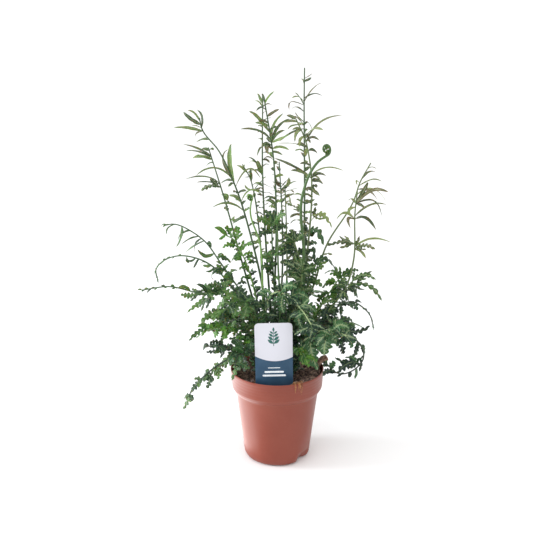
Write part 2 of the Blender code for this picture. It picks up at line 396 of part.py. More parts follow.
# Young fronds: the stem, the column and row of the coil's middle, its radius and the stem's radius
CROZIERS = {
    "crozier_tall": (
        [(300, 320, -20), (303.4, 271, -21), (304, 235, -21), (302.7, 208, -21), (303.1, 192.6, -21),
         (306.6, 182.5, -21), (311.4, 171, -21), (318, 162, -21)],
        (326, 149.6), 7.0, 2.0),
    "crozier_lime": (
        [(263, 300, -24), (262, 264, -24), (258.6, 236, -24), (254, 219, -24), (250.4, 208, -24)],
        (249.6, 197.8), 4.6, 1.3),
    "crozier_green": (
        [(280, 300, -30), (278, 262, -30), (277.6, 236, -30)],
        (275.6, 222.4), 4.4, 1.3),
}

# How far each frond leans back, or forward if negative, from its foot to its end, in millimetres
LEANS = {
    "tall_centre": 14.0, "tall_right": -34.0, "tall_left": 38.0, "tall_middle": -30.0,
    "leaning_left": -28.0, "leaning_left_low": 30.0, "slim_left": 34.0, "upright_right": -22.0,
    "slanted_right": 30.0, "slim_centre": 40.0, "slim_right": 46.0, "crozier_tall": -18.0,
    "crozier_lime": -14.0, "crozier_green": -16.0, "arch_left_high": 22.0, "arch_left_middle": 48.0,
    "arch_left_low": -8.0, "low_left_broad": -14.0, "low_left_bright": -20.0, "low_left_dark": -16.0,
    "trailing_left": 6.0, "light_right_top": 26.0, "striped_right": -12.0, "chain_right": 38.0,
    "palmate_right": -14.0, "pointed_right": 4.0, "loop_right": -12.0, "young_front": -8.0,
    "long_front": -22.0, "long_front_left": -20.0, "front_left": -10.0, "middle_striped": -12.0,
    "middle_dark": 10.0, "middle_ribbed": -20.0, "middle_forked": -10.0, "bright_left": 12.0,
    "broad_middle": -26.0,
}
LEAN_POWER = 1.4
SWING_SCALE = 1.7

# Fronds behind and at the sides, by rule: bearing in degrees, how far they reach and how high
REAR_FRONDS = 8
REAR_FIRST = -14.0
REAR_STEP = 29.0
REAR_REACH = (66.0, 98.0)
REAR_TOP = (148.0, 190.0)
REAR_LEAFLET = (27.0, 39.0)
REAR_WIDTH = 10.5
SEED = 41

COLOURS = {
    "terracotta": ((0.42, 0.13, 0.085), 0.42),
    "peat": ((0.035, 0.022, 0.016), 0.95),
    "label_white": ((0.80, 0.80, 0.84), 0.35),
    "bark": ((0.10, 0.055, 0.035), 0.9),
    "root_fibre": ((0.42, 0.19, 0.07), 0.8),
    "fern_green": ((0.075, 0.17, 0.045), 0.5),
    "fern_dark": ((0.035, 0.085, 0.035), 0.5),
    "fern_bright": ((0.16, 0.33, 0.05), 0.5),
}
BRIGHT = ("low_left_bright", "light_right_top", "young_front", "crozier_tall", "crozier_lime",
          "crozier_green", "bright_left")
DARK = ("long_front", "long_front_left", "middle_dark", "palmate_right", "pointed_right",
        "low_left_dark", "front_left", "chain_right", "loop_right")


class Leaflet:
    """A leaflet: the root, middle and tip of its rib, the way it may swing, and its outline."""

    def __init__(self, root, middle, tip, width, lobes, face):
        self.root = root
        self.middle = middle
        self.tip = tip
        self.width = width
        self.lobes = lobes
        self.face = face
        self.middle_swing = sight_line(*picture(middle)) * 0.5
        self.tip_swing = sight_line(*picture(tip))

    def swung(self, sway):
        """Root, middle and tip with the tip moved along the line of sight."""
        return self.root, self.middle + self.middle_swing * sway, self.tip + self.tip_swing * sway


class Frond:
    """A frond's stem through its points, thick at the foot, with the leaflets it carries."""

    def __init__(self, name, points, foot_radius, tip_radius, rows=(), crook=None):
        self.name = name
        self.points = points
        self.foot_radius = foot_radius
        self.tip_radius = tip_radius
        self.rows = rows
        self.crook = crook
        self.leaflets = []

    def lengths(self):
        """Distance along the stem at each of its points."""
        total = [0.0]
        for first, second in zip(self.points, self.points[1:]):
            total.append(total[-1] + (second - first).length)
        return total

    def radii(self):
        """Radius of the stem at each of its points."""
        along = self.lengths()
        fall = self.tip_radius - self.foot_radius
        return [self.foot_radius + fall * (value / along[-1]) for value in along]


def seen_stem(rows, lean):
    """Points of a stem given by columns, rows and depths, which leans back or forward on its way."""
    along = [0.0]
    for (column, row, _), (next_column, next_row, _) in zip(rows, rows[1:]):
        along.append(along[-1] + math.hypot(next_column - column, next_row - row))
    return [place(column, row, depth + lean * (way / along[-1])**LEAN_POWER)
            for (column, row, depth), way in zip(rows, along)]


def smooth(points, step):
    """A curve through the points, with a point about every step."""
    spans = [(b - a).length for a, b in zip(points, points[1:])]
    slopes = [(points[1] - points[0]) / spans[0]]
    for i in range(1, len(points) - 1):
        before = (points[i] - points[i - 1]) / spans[i - 1]
        after = (points[i + 1] - points[i]) / spans[i]
        slopes.append((before * spans[i] + after * spans[i - 1]) / (spans[i - 1] + spans[i]))
    slopes.append((points[-1] - points[-2]) / spans[-1])
    curve = [points[0].copy()]
    for i, span in enumerate(spans):
        parts = max(1, round(span / step))
        for part in range(1, parts + 1):
            t = part / parts
            start = points[i] * (2 * t**3 - 3 * t**2 + 1) + slopes[i] * span * (t**3 - 2 * t**2 + t)
            end = points[i + 1] * (3 * t**2 - 2 * t**3) + slopes[i + 1] * span * (t**3 - t**2)
            curve.append(start + end)
    return curve


def thin_out(points, tolerance):
    """The points that a chain of straight runs needs to stay within a tolerance of the curve."""
    if len(points) < 3:
        return list(points)
    chord = points[-1] - points[0]
    worst, index = 0.0, 0
    for i in range(1, len(points) - 1):
        away = points[i] - points[0]
        share = max(0.0, min(1.0, away.dot(chord) / chord.length_squared))
        distance = (away - chord * share).length
        if distance > worst:
            worst, index = distance, i
    if worst <= tolerance:
        return [points[0], points[-1]]
    return thin_out(points[:index + 1], tolerance)[:-1] + thin_out(points[index:], tolerance)


def feet_grid():
    """Places on the soil where a stem may stand, a foot's spacing apart."""
    places = []
    rows = range(-7, 8)
    for row in rows:
        for column in rows:
            x = (column + 0.5 * (row % 2)) * FOOT_SPACING
            y = row * FOOT_SPACING * math.sqrt(3.0) / 2.0
            places.append(Vector((x, y, 0.0)))
    return places


def stand_stems(fronds):
    """Give each stem a foot in the soil, on the side that the frond leans to."""
    free = feet_grid()
    for frond in fronds:
        lean = sum((p for p in frond.points), Vector()) / len(frond.points)
        wish = Vector((lean.x, lean.y, 0.0)) * FOOT_PULL
        foot = min(free, key=lambda spot: (spot - wish).length)
        free.remove(foot)
        bottom = Vector((foot.x, foot.y, FOOT_BOTTOM))
        top = Vector((foot.x, foot.y, FOOT_TOP))
        in_soil = max(1, round((FOOT_TOP - FOOT_BOTTOM) / STEM_STEP))
        curve = smooth([bottom, top] + frond.points, STEM_STEP)
        frond.points = [bottom] + thin_out(curve[in_soil:], STEM_TOLERANCE)


def stem_samples(frond, index):
    """Points a few millimetres apart on the runs of a stem above the soil."""
    radii = frond.radii()
    samples = []
    for i in range(1, len(frond.points) - 1):
        first, second = frond.points[i], frond.points[i + 1]
        parts = max(1, math.ceil((second - first).length / 2.5))
        for part in range(parts):
            share = (part + 0.5) / parts
            radius = radii[i] + (radii[i + 1] - radii[i]) * share
            samples.append((first.lerp(second, share), index, i, share, radius))
    return samples


def push_apart(fronds):
    """Move stems that touch away from each other, mostly in depth."""
    for _ in range(PUSH_ROUNDS):
        samples = []
        for index, frond in enumerate(fronds):
            samples.extend(stem_samples(frond, index))
        tree = KDTree(len(samples))
        for number, sample in enumerate(samples):
            tree.insert(sample[0], number)
        tree.balance()
        shifts = [[Vector() for _ in frond.points] for frond in fronds]
        touching = 0
        for spot, index, run, share, radius in samples:
            for other_spot, number, distance in tree.find_range(spot, PUSH_REACH):
                other = samples[number]
                if other[1] == index:
                    continue
                lack = radius + other[4] + STEM_CLEARANCE - distance
                if lack <= 0.0:
                    continue
                touching += 1
                away = spot - other_spot
                side = 1.0 if (away.y, index) > (0.0, other[1]) else -1.0
                push = Vector((away.x * 0.2, side, away.z * 0.1)).normalized() * lack * PUSH_SHARE
                for point, weight in ((run, 1.0 - share), (run + 1, share)):
                    held = shifts[index][point]
                    shifts[index][point] = held if held.length > push.length * weight else push * weight
        for frond, moves in zip(fronds, shifts):
            for i in range(2, len(frond.points)):
                frond.points[i] = frond.points[i] + moves[i]
        if not touching:
            break


def root_on(frond, column, row):
    """The place on a stem that is seen nearest to a column and row."""
    best, nearest = None, None
    for first, second in zip(frond.points[1:], frond.points[2:]):
        parts = max(1, math.ceil((second - first).length / 1.5))
        for part in range(parts + 1):
            spot = first.lerp(second, part / parts)
            seen = picture(spot)
            distance = math.hypot(seen[0] - column, seen[1] - row)
            if best is None or distance < best:
                best, nearest = distance, spot
    return nearest


def facing(point, front_share):
    """The way that a leaflet's upper face looks: up, outwards, and to the front."""
    outward = Vector((point.x, point.y, 0.0))
    outward = outward.normalized() if outward.length > 1.0 else Vector((0.0, -1.0, 0.0))
    return (UP * 0.75 + outward * 0.4 + Vector((0.0, -front_share, 0.0))).normalized()


def seen_leaflets(frond):
    """Leaflets of a frond that is given by columns and rows."""
    for row in frond.rows:
        root = root_on(frond, row[0], row[1])
        swing = row[6] * SWING_SCALE
        middle = place(row[2], row[3], root.y + swing * 0.5)
        tip = place(row[4], row[5], root.y + swing)
        frond.leaflets.append(Leaflet(root, middle, tip, row[7], row[8], facing(middle, 0.5)))


def rear_frond(number, draw):
    """A low frond that arches out behind or beside the crown."""
    bearing = math.radians(REAR_FIRST + REAR_STEP * number + draw.uniform(-4.0, 4.0))
    reach = draw.uniform(*REAR_REACH) * (1.0 if number % 2 else 0.72)
    top = draw.uniform(*REAR_TOP) + (0.0 if number % 2 else 36.0)
    out = Vector((math.cos(bearing), math.sin(bearing), 0.0))
    points = [out * reach * 0.30 + UP * (FOOT_TOP + (top - FOOT_TOP) * 0.62),
              out * reach * 0.58 + UP * (top - 3.0),
              out * reach * 0.82 + UP * (top - 2.0),
              out * reach + UP * (top - 9.0)]
    return Frond(f"sterile_rear_{number + 1:02d}", points, LOW_FOOT_RADIUS, STEM_TIP_RADIUS, out)


def rear_leaflets(frond, draw):
    """Leaflets in pairs along the outer half of a frond, and one at its end."""
    out = frond.rows
    across = Vector((-out.y, out.x, 0.0))
    stem = frond.points
    total = frond.lengths()[-1]
    for share, spread, size in ((0.62, 1.15, 0.95), (0.84, 0.85, 1.0)):
        for side in (-1.0, 1.0):
            root = point_along(stem, total * (share + draw.uniform(-0.02, 0.02)))
            angle = spread + draw.uniform(-0.14, 0.14)
            way = out * math.cos(angle) + across * side * math.sin(angle)
            length = draw.uniform(*REAR_LEAFLET) * size
            add_rear_leaflet(frond, root, way, length, draw)
    add_rear_leaflet(frond, point_along(stem, total * 0.985), out, REAR_LEAFLET[1], draw)


def add_rear_leaflet(frond, root, way, length, draw):
    """One leaflet of a rear frond, arched up and then down to its tip."""
    rise = draw.uniform(1.0, 4.0)
    droop = draw.uniform(3.0, 11.0)
    middle = root + way * length * 0.5 + UP * rise
    tip = root + way * length - UP * droop
    width = REAR_WIDTH * draw.uniform(0.85, 1.1)
    frond.leaflets.append(Leaflet(root, middle, tip, width, 2, facing(middle, 0.0)))


def point_along(points, distance):
    """The point at a distance along a chain of points."""
    for first, second in zip(points, points[1:]):
        length = (second - first).length
        if distance <= length:
            return first.lerp(second, distance / length)
        distance -= length
    return points[-1].copy()


def crook_points(frond):
    """The coil at the end of a young frond, seen from the front, from its outside inwards."""
    (column, row), radius, _ = frond.crook
    last = frond.points[-1]
    middle = place(column, row, last.y)
    first_angle = math.atan2(last.z - middle.z, last.x - middle.x)
    points = []
    for step in range(1, COIL_STEPS + 1):
        turn = step / COIL_STEPS
        angle = first_angle + COIL_TURN * turn
        reach = radius * (1.0 - COIL_CLOSING * turn)
        side = Vector((math.cos(angle) * COIL_OVAL[0], 0.0, math.sin(angle) * COIL_OVAL[1]))
        points.append(middle + side * reach + Vector((0.0, COIL_RISE * turn, 0.0)))
    return points


def tube_mesh(points, radii, sides=STEM_SIDES):
    """Vertices and faces of a closed tube along the points."""
    vertices, faces = [], []
    normal = Vector((1.0, 0.0, 0.0))
    for i, point in enumerate(points):
        before = points[max(0, i - 1)]
        after = points[min(len(points) - 1, i + 1)]
        along = (after - before).normalized()
        normal = (normal - along * normal.dot(along)).normalized()
        other = along.cross(normal)
        for side in range(sides):
            angle = math.tau * (side + 0.5) / sides
            vertices.append(point + (normal * math.cos(angle) + other * math.sin(angle)) * radii[i])
    for ring in range(len(points) - 1):
        for side in range(sides):
            a = ring * sides + side
            b = ring * sides + (side + 1) % sides
            faces.append((a, b, b + sides))
            faces.append((a, b + sides, a + sides))
    last = (len(points) - 1) * sides
    for side in range(1, sides - 1):
        faces.append((0, side + 1, side))
        faces.append((last, last + side, last + side + 1))
    return vertices, faces


def rib_curve(root, middle, tip, t):
    """The point at a share of a leaflet's rib, which passes through its middle."""
    bend = middle * 2.0 - (root + tip) * 0.5
    return root * (1 - t)**2 + bend * 2 * t * (1 - t) + tip * t**2


def blade_outline(width, lobes):
    """Shares of the rib and the half widths there, from the root to just before the tip."""
    root = (0.0, ROOT_WIDTH * 0.5)
    if lobes == 0:
        return [root, (0.42, width * 0.5)]
    if lobes == 2:
        return [root, (0.34, width * 0.5), (0.70, width * 0.36)]
    return [root, (0.26, width * 0.5), (0.44, width * 0.34), (0.60, width * 0.42)]


def blade_mesh(leaflet, sway, extra=0.0):
    """Vertices and faces of a leaflet: flat above and keeled below, with a pointed tip."""
    root, middle, tip = leaflet.swung(sway)
    keel = STRAP_KEEL if leaflet.lobes == 0 else BLADE_KEEL
    vertices, faces = [], []
    chord = (tip - root).normalized()
    side = chord.cross(leaflet.face)
    side = side.normalized() if side.length > 0.05 else Vector((1.0, 0.0, 0.0))
    over = side.cross(chord)
    for share, half_width in blade_outline(leaflet.width, leaflet.lobes):
        point = rib_curve(root, middle, tip, share)
        edge = side * (half_width + extra * 1.5)
        top = over * (keel * 0.35 + extra)
        vertices += [point - edge + top, point + edge + top, point - over * (keel * 0.65 + extra)]
    vertices.append(tip + (tip - middle).normalized() * extra)
    end = len(vertices) - 1
    for first in range(0, end - 3, 3):
        a, b, c, d, e, f = range(first, first + 6)
        faces += [(a, b, e), (a, e, d), (b, c, f), (b, f, e), (c, a, f), (a, d, f)]
    faces += [(0, 2, 1), (end - 3, end - 2, end), (end - 2, end - 1, end), (end - 1, end - 3, end)]
    return vertices, faces


class Crowd:
    """The solids that already have their place, so that a new one can keep clear of them."""

    def __init__(self):
        self.solids = []

    def add(self, owner, mesh):
        """Take in a solid that belongs to an owner."""
        vertices, faces = mesh
        tree = BVHTree.FromPolygons(vertices, faces)
        low = [min(v[k] for v in vertices) for k in range(3)]
        high = [max(v[k] for v in vertices) for k in range(3)]
        self.solids.append((owner, tree, low, high))

    def meets(self, owner, mesh):
        """Whether a mesh crosses a solid of another owner."""
        vertices, faces = mesh
        low = [min(v[k] for v in vertices) for k in range(3)]
        high = [max(v[k] for v in vertices) for k in range(3)]
        tree = None
        for other, solid, other_low, other_high in self.solids:
            if other == owner or any(low[k] > other_high[k] or high[k] < other_low[k] for k in range(3)):
                continue
            if tree is None:
                tree = BVHTree.FromPolygons(vertices, faces)
            if tree.overlap(solid):
                return True
        return False


def new_object(name, vertices, faces, colour=None):
    """An object in metres from vertices in millimetres."""
    mesh = bpy.data.meshes.new(name)
    mesh.from_pydata([Vector(v) * MM for v in vertices], [], faces)
    work = bmesh.new()
    work.from_mesh(mesh)
    bmesh.ops.recalc_face_normals(work, faces=work.faces)
    work.to_mesh(mesh)
    work.free()
    thing = bpy.data.objects.new(name, mesh)
    bpy.context.scene.collection.objects.link(thing)
    if colour:
        mesh.materials.append(material(colour))
    return thing


def material(name):
    """The material of a colour name, made once."""
    if name in bpy.data.materials:
        return bpy.data.materials[name]
    finish = bpy.data.materials.new(name)
    finish.use_nodes = True
    shader = finish.node_tree.nodes["Principled BSDF"]
    colour, roughness = COLOURS[name]
    shader.inputs["Base Color"].default_value = (*colour, 1.0)
    shader.inputs["Roughness"].default_value = roughness
    shader.inputs["Metallic"].default_value = 0.0
    finish.diffuse_color = (*colour, 1.0)
    return finish


def apply_boolean(thing, parts, operation):
    """Join parts to an object, or cut them from it, and remove the parts."""
    group = bpy.data.collections.new(thing.name + "_parts")
    bpy.context.scene.collection.children.link(group)
    for part in parts:
        bpy.context.scene.collection.objects.unlink(part)
        group.objects.link(part)
    modifier = thing.modifiers.new("parts", "BOOLEAN")
    modifier.operation = operation
    modifier.operand_type = "COLLECTION"
    modifier.collection = group
    modifier.solver = "MANIFOLD"
    bpy.context.view_layer.update()
    graph = bpy.context.evaluated_depsgraph_get()
    mesh = bpy.data.meshes.new_from_object(thing.evaluated_get(graph))
    keep_outer(mesh)
    simplify(mesh)
    thing.modifiers.clear()
    old = thing.data
    mesh.name = old.name
    thing.data = mesh
    bpy.data.meshes.remove(old)
    for part in parts:
        bpy.data.objects.remove(part)
    bpy.data.collections.remove(group)


def keep_outer(mesh):
    """Keep the largest shell of a mesh, so that a hollow sealed between blades is filled."""
    work = bmesh.new()
    work.from_mesh(mesh)
    left = set(work.verts)
    shells = []
    while left:
        waiting = [left.pop()]
        shell = []
        while waiting:
            vertex = waiting.pop()
            shell.append(vertex)
            for edge in vertex.link_edges:
                other = edge.other_vert(vertex)
                if other in left:
                    left.remove(other)
                    waiting.append(other)
        shells.append(shell)
    shells.sort(key=len)
    for shell in shells[:-1]:
        bmesh.ops.delete(work, geom=shell, context="VERTS")
    if len(shells) > 1:
        work.to_mesh(mesh)
    work.free()


def simplify(mesh):
    """Merge flat neighbours and drop slivers, as far as the mesh stays closed and crosses nothing."""
    for flat_angle, short_edge in SIMPLER:
        work = bmesh.new()
        work.from_mesh(mesh)
        if flat_angle:
            bmesh.ops.dissolve_limit(work, angle_limit=flat_angle, use_dissolve_boundaries=False,
                                     verts=work.verts, edges=work.edges)
        bmesh.ops.triangulate(work, faces=work.faces)
        for _ in range(SLIVER_ROUNDS):
            if not close_short_edges(work, short_edge) + turn_flat_triangles(work):
                break
        sound = all(len(edge.link_faces) == 2 for edge in work.edges) and not crosses_itself(work)
        if sound:
            work.to_mesh(mesh)
        work.free()
        if sound:
            return
    print("left as it was:", mesh.name)


def crosses_itself(work):
    """Whether faces that share no corner cross."""
    work.verts.index_update()
    corners = [tuple(vertex.index for vertex in face.verts) for face in work.faces]
    tree = BVHTree.FromPolygons([vertex.co / MM for vertex in work.verts], corners)
    for first, second in tree.overlap(tree):
        if first < second and not set(corners[first]) & set(corners[second]):
            return True
    return False


def close_short_edges(work, length):
    """Merge the ends of edges below a length, where the surface stays closed. Returns how many."""
    closed = 0
    short = [edge for edge in work.edges if edge.calc_length() < length * MM]
    for edge in sorted(short, key=lambda edge: edge.calc_length()):
        if not edge.is_valid:
            continue
        first, second = edge.verts
        around_first = {other.other_vert(first) for other in first.link_edges}
        around_second = {other.other_vert(second) for other in second.link_edges}
        if len(around_first & around_second) != 2:
            continue
        bmesh.ops.weld_verts(work, targetmap={second: first})
        closed += 1
    return closed


def turn_flat_triangles(work):
    """Turn the longest edge of each triangle that is nearly a line. Returns how many."""
    turned = 0
    work.edges.ensure_lookup_table()
    for face in list(work.faces):
        if not face.is_valid:
            continue
        longest = max(face.edges, key=lambda edge: edge.calc_length())
        if 2.0 * face.calc_area() > THIN_TRIANGLE * MM * longest.calc_length():
            continue
        ends = [(set(linked.verts) - set(longest.verts)).pop() for linked in longest.link_faces]
        if len(ends) != 2 or work.edges.get(ends):
            continue
        bmesh.ops.rotate_edges(work, edges=[longest], use_ccw=False)
        turned += 1
    return turned


def lathe(profile, sides, radius_at=None):
    """A turned solid from (radius, height) points that start and end on the axis."""
    vertices, faces = [], []
    rings = []
    for radius, height in profile:
        if radius == 0.0:
            rings.append([len(vertices)])
            vertices.append(Vector((0.0, 0.0, height)))
            continue
        ring = []
        for side in range(sides):
            angle = math.tau * side / sides
            reach = radius_at(radius, height, angle) if radius_at else radius
            ring.append(len(vertices))
            vertices.append(Vector((reach * math.cos(angle), reach * math.sin(angle), height)))
        rings.append(ring)
    for lower, upper in zip(rings, rings[1:]):
        for side in range(sides):
            after = (side + 1) % sides
            if len(lower) == 1:
                faces.append((lower[0], upper[after], upper[side]))
            elif len(upper) == 1:
                faces.append((lower[side], lower[after], upper[0]))
            else:
                faces.append((lower[side], lower[after], upper[after], upper[side]))
    return vertices, faces


def scooped(radius, height, angle):
    """The pot's radius, drawn in at the finger scoops of its foot."""
    if height > SCOOP_HEIGHT or radius < DRAIN_RING + DRAIN_RADIUS + 2.0:
        return radius
    for bearing in FOOT_SCOOPS:
        turn = math.degrees(angle) - bearing
        turn = abs((turn + 180.0) % 360.0 - 180.0)
        if turn < SCOOP_HALF_ANGLE:
            across = 0.5 + 0.5 * math.cos(math.pi * turn / SCOOP_HALF_ANGLE)
            down = 1.0 - (height / SCOOP_HEIGHT)**2
            radius -= SCOOP_DEPTH * math.sqrt(across) * down
    return radius


def pot_profile():
    """The pot's section, from the middle of its underside round the rim to its floor."""
    wall = POT_WALL
    return [(0.0, 0.0), (BASE_RADIUS, 0.0), (BASE_RADIUS + 3.8, 2.4), (BODY_FOOT_RADIUS, BODY_FOOT_HEIGHT),
            (BODY_FOOT_RADIUS + 0.6, SCOOP_HEIGHT), (BODY_TOP_RADIUS, BODY_TOP_HEIGHT),
            (COLLAR_FOOT_RADIUS - 2.2, COLLAR_FOOT_HEIGHT - 4.2), (COLLAR_FOOT_RADIUS, COLLAR_FOOT_HEIGHT),
            (RIM_RADIUS, POT_HEIGHT - 0.8), (RIM_RADIUS - 0.6, POT_HEIGHT),
            (RIM_RADIUS - wall - 0.2, POT_HEIGHT - 0.8), (COLLAR_FOOT_RADIUS - wall, COLLAR_FOOT_HEIGHT),
            (BODY_TOP_RADIUS - wall, BODY_TOP_HEIGHT + 0.4), (BODY_FOOT_RADIUS + 0.6 - wall, SCOOP_HEIGHT),
            (BODY_FOOT_RADIUS - wall, BODY_FOOT_HEIGHT), (BASE_RADIUS + 1.0, POT_FLOOR + 0.6),
            (0.0, POT_FLOOR)]


def make_pot():
    """The moulded pot with its collar, foot scoops and drain holes."""
    vertices, faces = lathe(pot_profile(), POT_SIDES, scooped)
    pot = new_object("pot", vertices, faces, "terracotta")
    cutters = []
    for hole in range(DRAIN_HOLES):
        angle = math.tau * (hole + 0.5) / DRAIN_HOLES
        middle = Vector((DRAIN_RING * math.cos(angle), DRAIN_RING * math.sin(angle), 0.0))
        ends = [middle - UP * 2.0, middle + UP * (POT_FLOOR + 2.0)]
        cutters.append(new_object(f"drain_{hole}", *tube_mesh(ends, [DRAIN_RADIUS] * 2, 8)))
    apply_boolean(pot, cutters, "DIFFERENCE")
    pot.data.shade_smooth()
    pot.data.set_sharp_from_angle(angle=math.radians(32.0))
    return pot


def soil_height(x, y):
    """Height of the soil's surface, with gentle mounds."""
    mounds = math.sin(x * 0.17 + 1.3) * math.cos(y * 0.21) + 0.6 * math.sin(x * 0.33 - y * 0.29)
    return SOIL_TOP + SOIL_RELIEF * 0.6 * mounds


def make_soil(fronds):
    """The peat that fills the pot, with a hole for each stem and a slot for the label."""
    inside = POT_WALL + FIT_GAP + 0.35
    profile = [(0.0, POT_FLOOR + 0.9), (30.0, POT_FLOOR + 0.9), (32.0, SCOOP_HEIGHT - 2.0),
               (BODY_FOOT_RADIUS + 0.6 - inside, SCOOP_HEIGHT + 3.0),
               (BODY_TOP_RADIUS - inside, BODY_TOP_HEIGHT + 0.8),
               (COLLAR_FOOT_RADIUS - inside - 0.2, COLLAR_FOOT_HEIGHT + 0.8),
               (COLLAR_FOOT_RADIUS - inside + 0.4, SOIL_TOP - 1.0), (46.0, SOIL_TOP), (34.0, SOIL_TOP),
               (16.0, SOIL_TOP), (0.0, SOIL_TOP)]
    vertices, faces = lathe(profile, SOIL_SIDES)
    for vertex in vertices:
        if vertex.z >= SOIL_TOP:
            vertex.z = soil_height(vertex.x, vertex.y)
    soil = new_object("soil", vertices, faces, "peat")
    cutters = [label_slot()]
    for frond in fronds:
        foot = frond.points[0]
        reach = frond.foot_radius + 2.0 * FIT_GAP + 0.2
        ends = [Vector((foot.x, foot.y, HOLE_BOTTOM)), Vector((foot.x, foot.y, SOIL_TOP + 9.0))]
        cutters.append(new_object("hole_" + frond.name, *tube_mesh(ends, [reach] * 2)))
    apply_boolean(soil, cutters, "DIFFERENCE")
    return soil


def label_outline(margin):
    """Outline of the label in its own plane, with its rounded top and blunt point."""
    half = LABEL_WIDTH * 0.5 + margin
    top = LABEL_TOP - SOIL_TOP + margin
    corner = LABEL_CORNER
    points = [(-6.0, LABEL_POINT - SOIL_TOP - margin), (6.0, LABEL_POINT - SOIL_TOP - margin),
              (half, LABEL_SHOULDER - SOIL_TOP - margin)]
    for side in (1.0, -1.0):
        middle = (side * (half - corner), top - corner)
        turns = (0.0, 30.0, 60.0, 90.0) if side > 0 else (90.0, 120.0, 150.0, 180.0)
        for turn in turns:
            angle = math.radians(turn)
            points.append((middle[0] + corner * math.cos(angle), middle[1] + corner * math.sin(angle)))
    points.append((-half, LABEL_SHOULDER - SOIL_TOP - margin))
    return points


def label_plate(margin):
    """The label's plate, upright in the soil at the front and a little askew."""
    outline = label_outline(margin)
    half = LABEL_THICK * 0.5 + margin
    turn = Matrix.Rotation(math.radians(-LABEL_TILT), 4, "Y")
    base = Vector((LABEL_CENTRE_X, LABEL_DEPTH, SOIL_TOP))
    vertices = []
    for depth in (-half, half):
        vertices += [base + turn @ Vector((x, depth, z)) for x, z in outline]
    count = len(outline)
    faces = [tuple(range(count - 1, -1, -1)), tuple(range(count, 2 * count))]
    faces += [(i, (i + 1) % count, (i + 1) % count + count, i + count) for i in range(count)]
    return vertices, faces


def make_label():
    """The stiff plastic plant label."""
    return new_object("label", *label_plate(0.0), "label_white")


def label_slot():
    """The room that the label takes in the soil."""
    return new_object("label_slot", *label_plate(0.35))


def make_bark_chip():
    """A chip of bark that lies on the soil and leans over the rim at the right."""
    section = [(45.5, 111.8), (53.6, 112.4), (57.3, 120.6), (58.6, 123.0), (63.5, 123.2), (68.0, 127.6),
               (65.8, 132.6), (59.4, 131.4), (53.0, 124.0), (46.6, 118.0)]
    bearing = math.radians(13.0)
    out = Vector((math.cos(bearing), math.sin(bearing), 0.0))
    across = Vector((-out.y, out.x, 0.0))
    draw = Random(SEED)
    vertices = []
    for depth in (-4.6, 0.0, 4.2):
        squeeze = 1.0 - 0.05 * abs(depth)
        for radius, height in section:
            rise = (height - 123.0) * squeeze if height > 123.4 else height - 123.0
            shift = depth + draw.uniform(-0.6, 0.6)
            vertices.append(out * radius + across * shift + UP * (123.0 + rise))
    count = len(section)
    faces = [tuple(range(count - 1, -1, -1)), tuple(range(2 * count, 3 * count))]
    for layer in (0, count):
        faces += [(layer + i, layer + (i + 1) % count, layer + (i + 1) % count + count, layer + i + count)
                  for i in range(count)]
    return new_object("bark_chip", vertices, faces, "bark")


def fibre_points(bearing, reach, drop, lift):
    """A root fibre that rises from the soil, bends over the rim and hangs down outside."""
    angle = math.radians(bearing)
    out = Vector((math.cos(angle), math.sin(angle), 0.0))
    over = POT_HEIGHT + 1.0 + lift
    start = Vector((math.cos(math.radians(-68.0)), math.sin(math.radians(-68.0)), 0.0))
    return [start * 50.0 + UP * (SOIL_TOP + 3.2), out * 54.6 + UP * (over - 4.0), out * 57.4 + UP * over,
            out * 60.2 + UP * (over + 0.4), out * (61.6 + reach) + UP * (over - 3.0),
            out * (61.8 + reach) + UP * (over - drop)]


def make_root_fibres():
    """A tuft of root fibre hanging over the front of the rim."""
    strands = []
    for number, (bearing, reach, drop, lift) in enumerate(
            [(-70.0, 0.0, 15.0, 0.2), (-65.0, 0.4, 11.0, 0.4), (-61.0, 0.0, 17.0, 0.1)]):
        points = fibre_points(bearing, reach, drop, lift)
        radii = [0.9, 0.8, 0.7, 0.7, 0.6, 0.5]
        strands.append(new_object(f"fibre_{number}", *tube_mesh(points, radii), "root_fibre"))
    tuft = strands[0]
    tuft.name = "root_fibres"
    apply_boolean(tuft, strands[1:], "UNION")
    return tuft


def plan_fronds():
    """Every frond with its stem standing clear of the others."""
    fronds = []
    for name, (stem, rows) in TALL_FRONDS.items():
        fronds.append(Frond("fertile_" + name, seen_stem(stem, LEANS[name]), TALL_FOOT_RADIUS,
                            STEM_TIP_RADIUS, rows))
    for name, (stem, crook, radius, thick) in CROZIERS.items():
        fronds.append(Frond(name, seen_stem(stem, LEANS[name]), thick, thick * COIL_START_SHARE, (),
                            (crook, radius, thick)))
    for name, (stem, rows) in LOW_FRONDS.items():
        fronds.append(Frond("sterile_" + name, seen_stem(stem, LEANS[name]), LOW_FOOT_RADIUS,
                            STEM_TIP_RADIUS, rows))
    draw = Random(SEED)
    for number in range(REAR_FRONDS):
        fronds.append(rear_frond(number, draw))
    stand_stems(fronds)
    push_apart(fronds)
    for frond in fronds:
        if frond.name.startswith("sterile_rear"):
            rear_leaflets(frond, draw)
        else:
            seen_leaflets(frond)
    return fronds


def stem_mesh(frond):
    """The stem's tube, with the coil of a young frond at its end."""
    points, radii = list(frond.points), frond.radii()
    if frond.crook:
        coil = crook_points(frond)
        thick = frond.crook[2]
        fall = COIL_END_SHARE - COIL_START_SHARE
        radii += [thick * (COIL_START_SHARE + fall * (i + 1) / len(coil)) for i in range(len(coil))]
        points += coil
    return tube_mesh(points, radii)


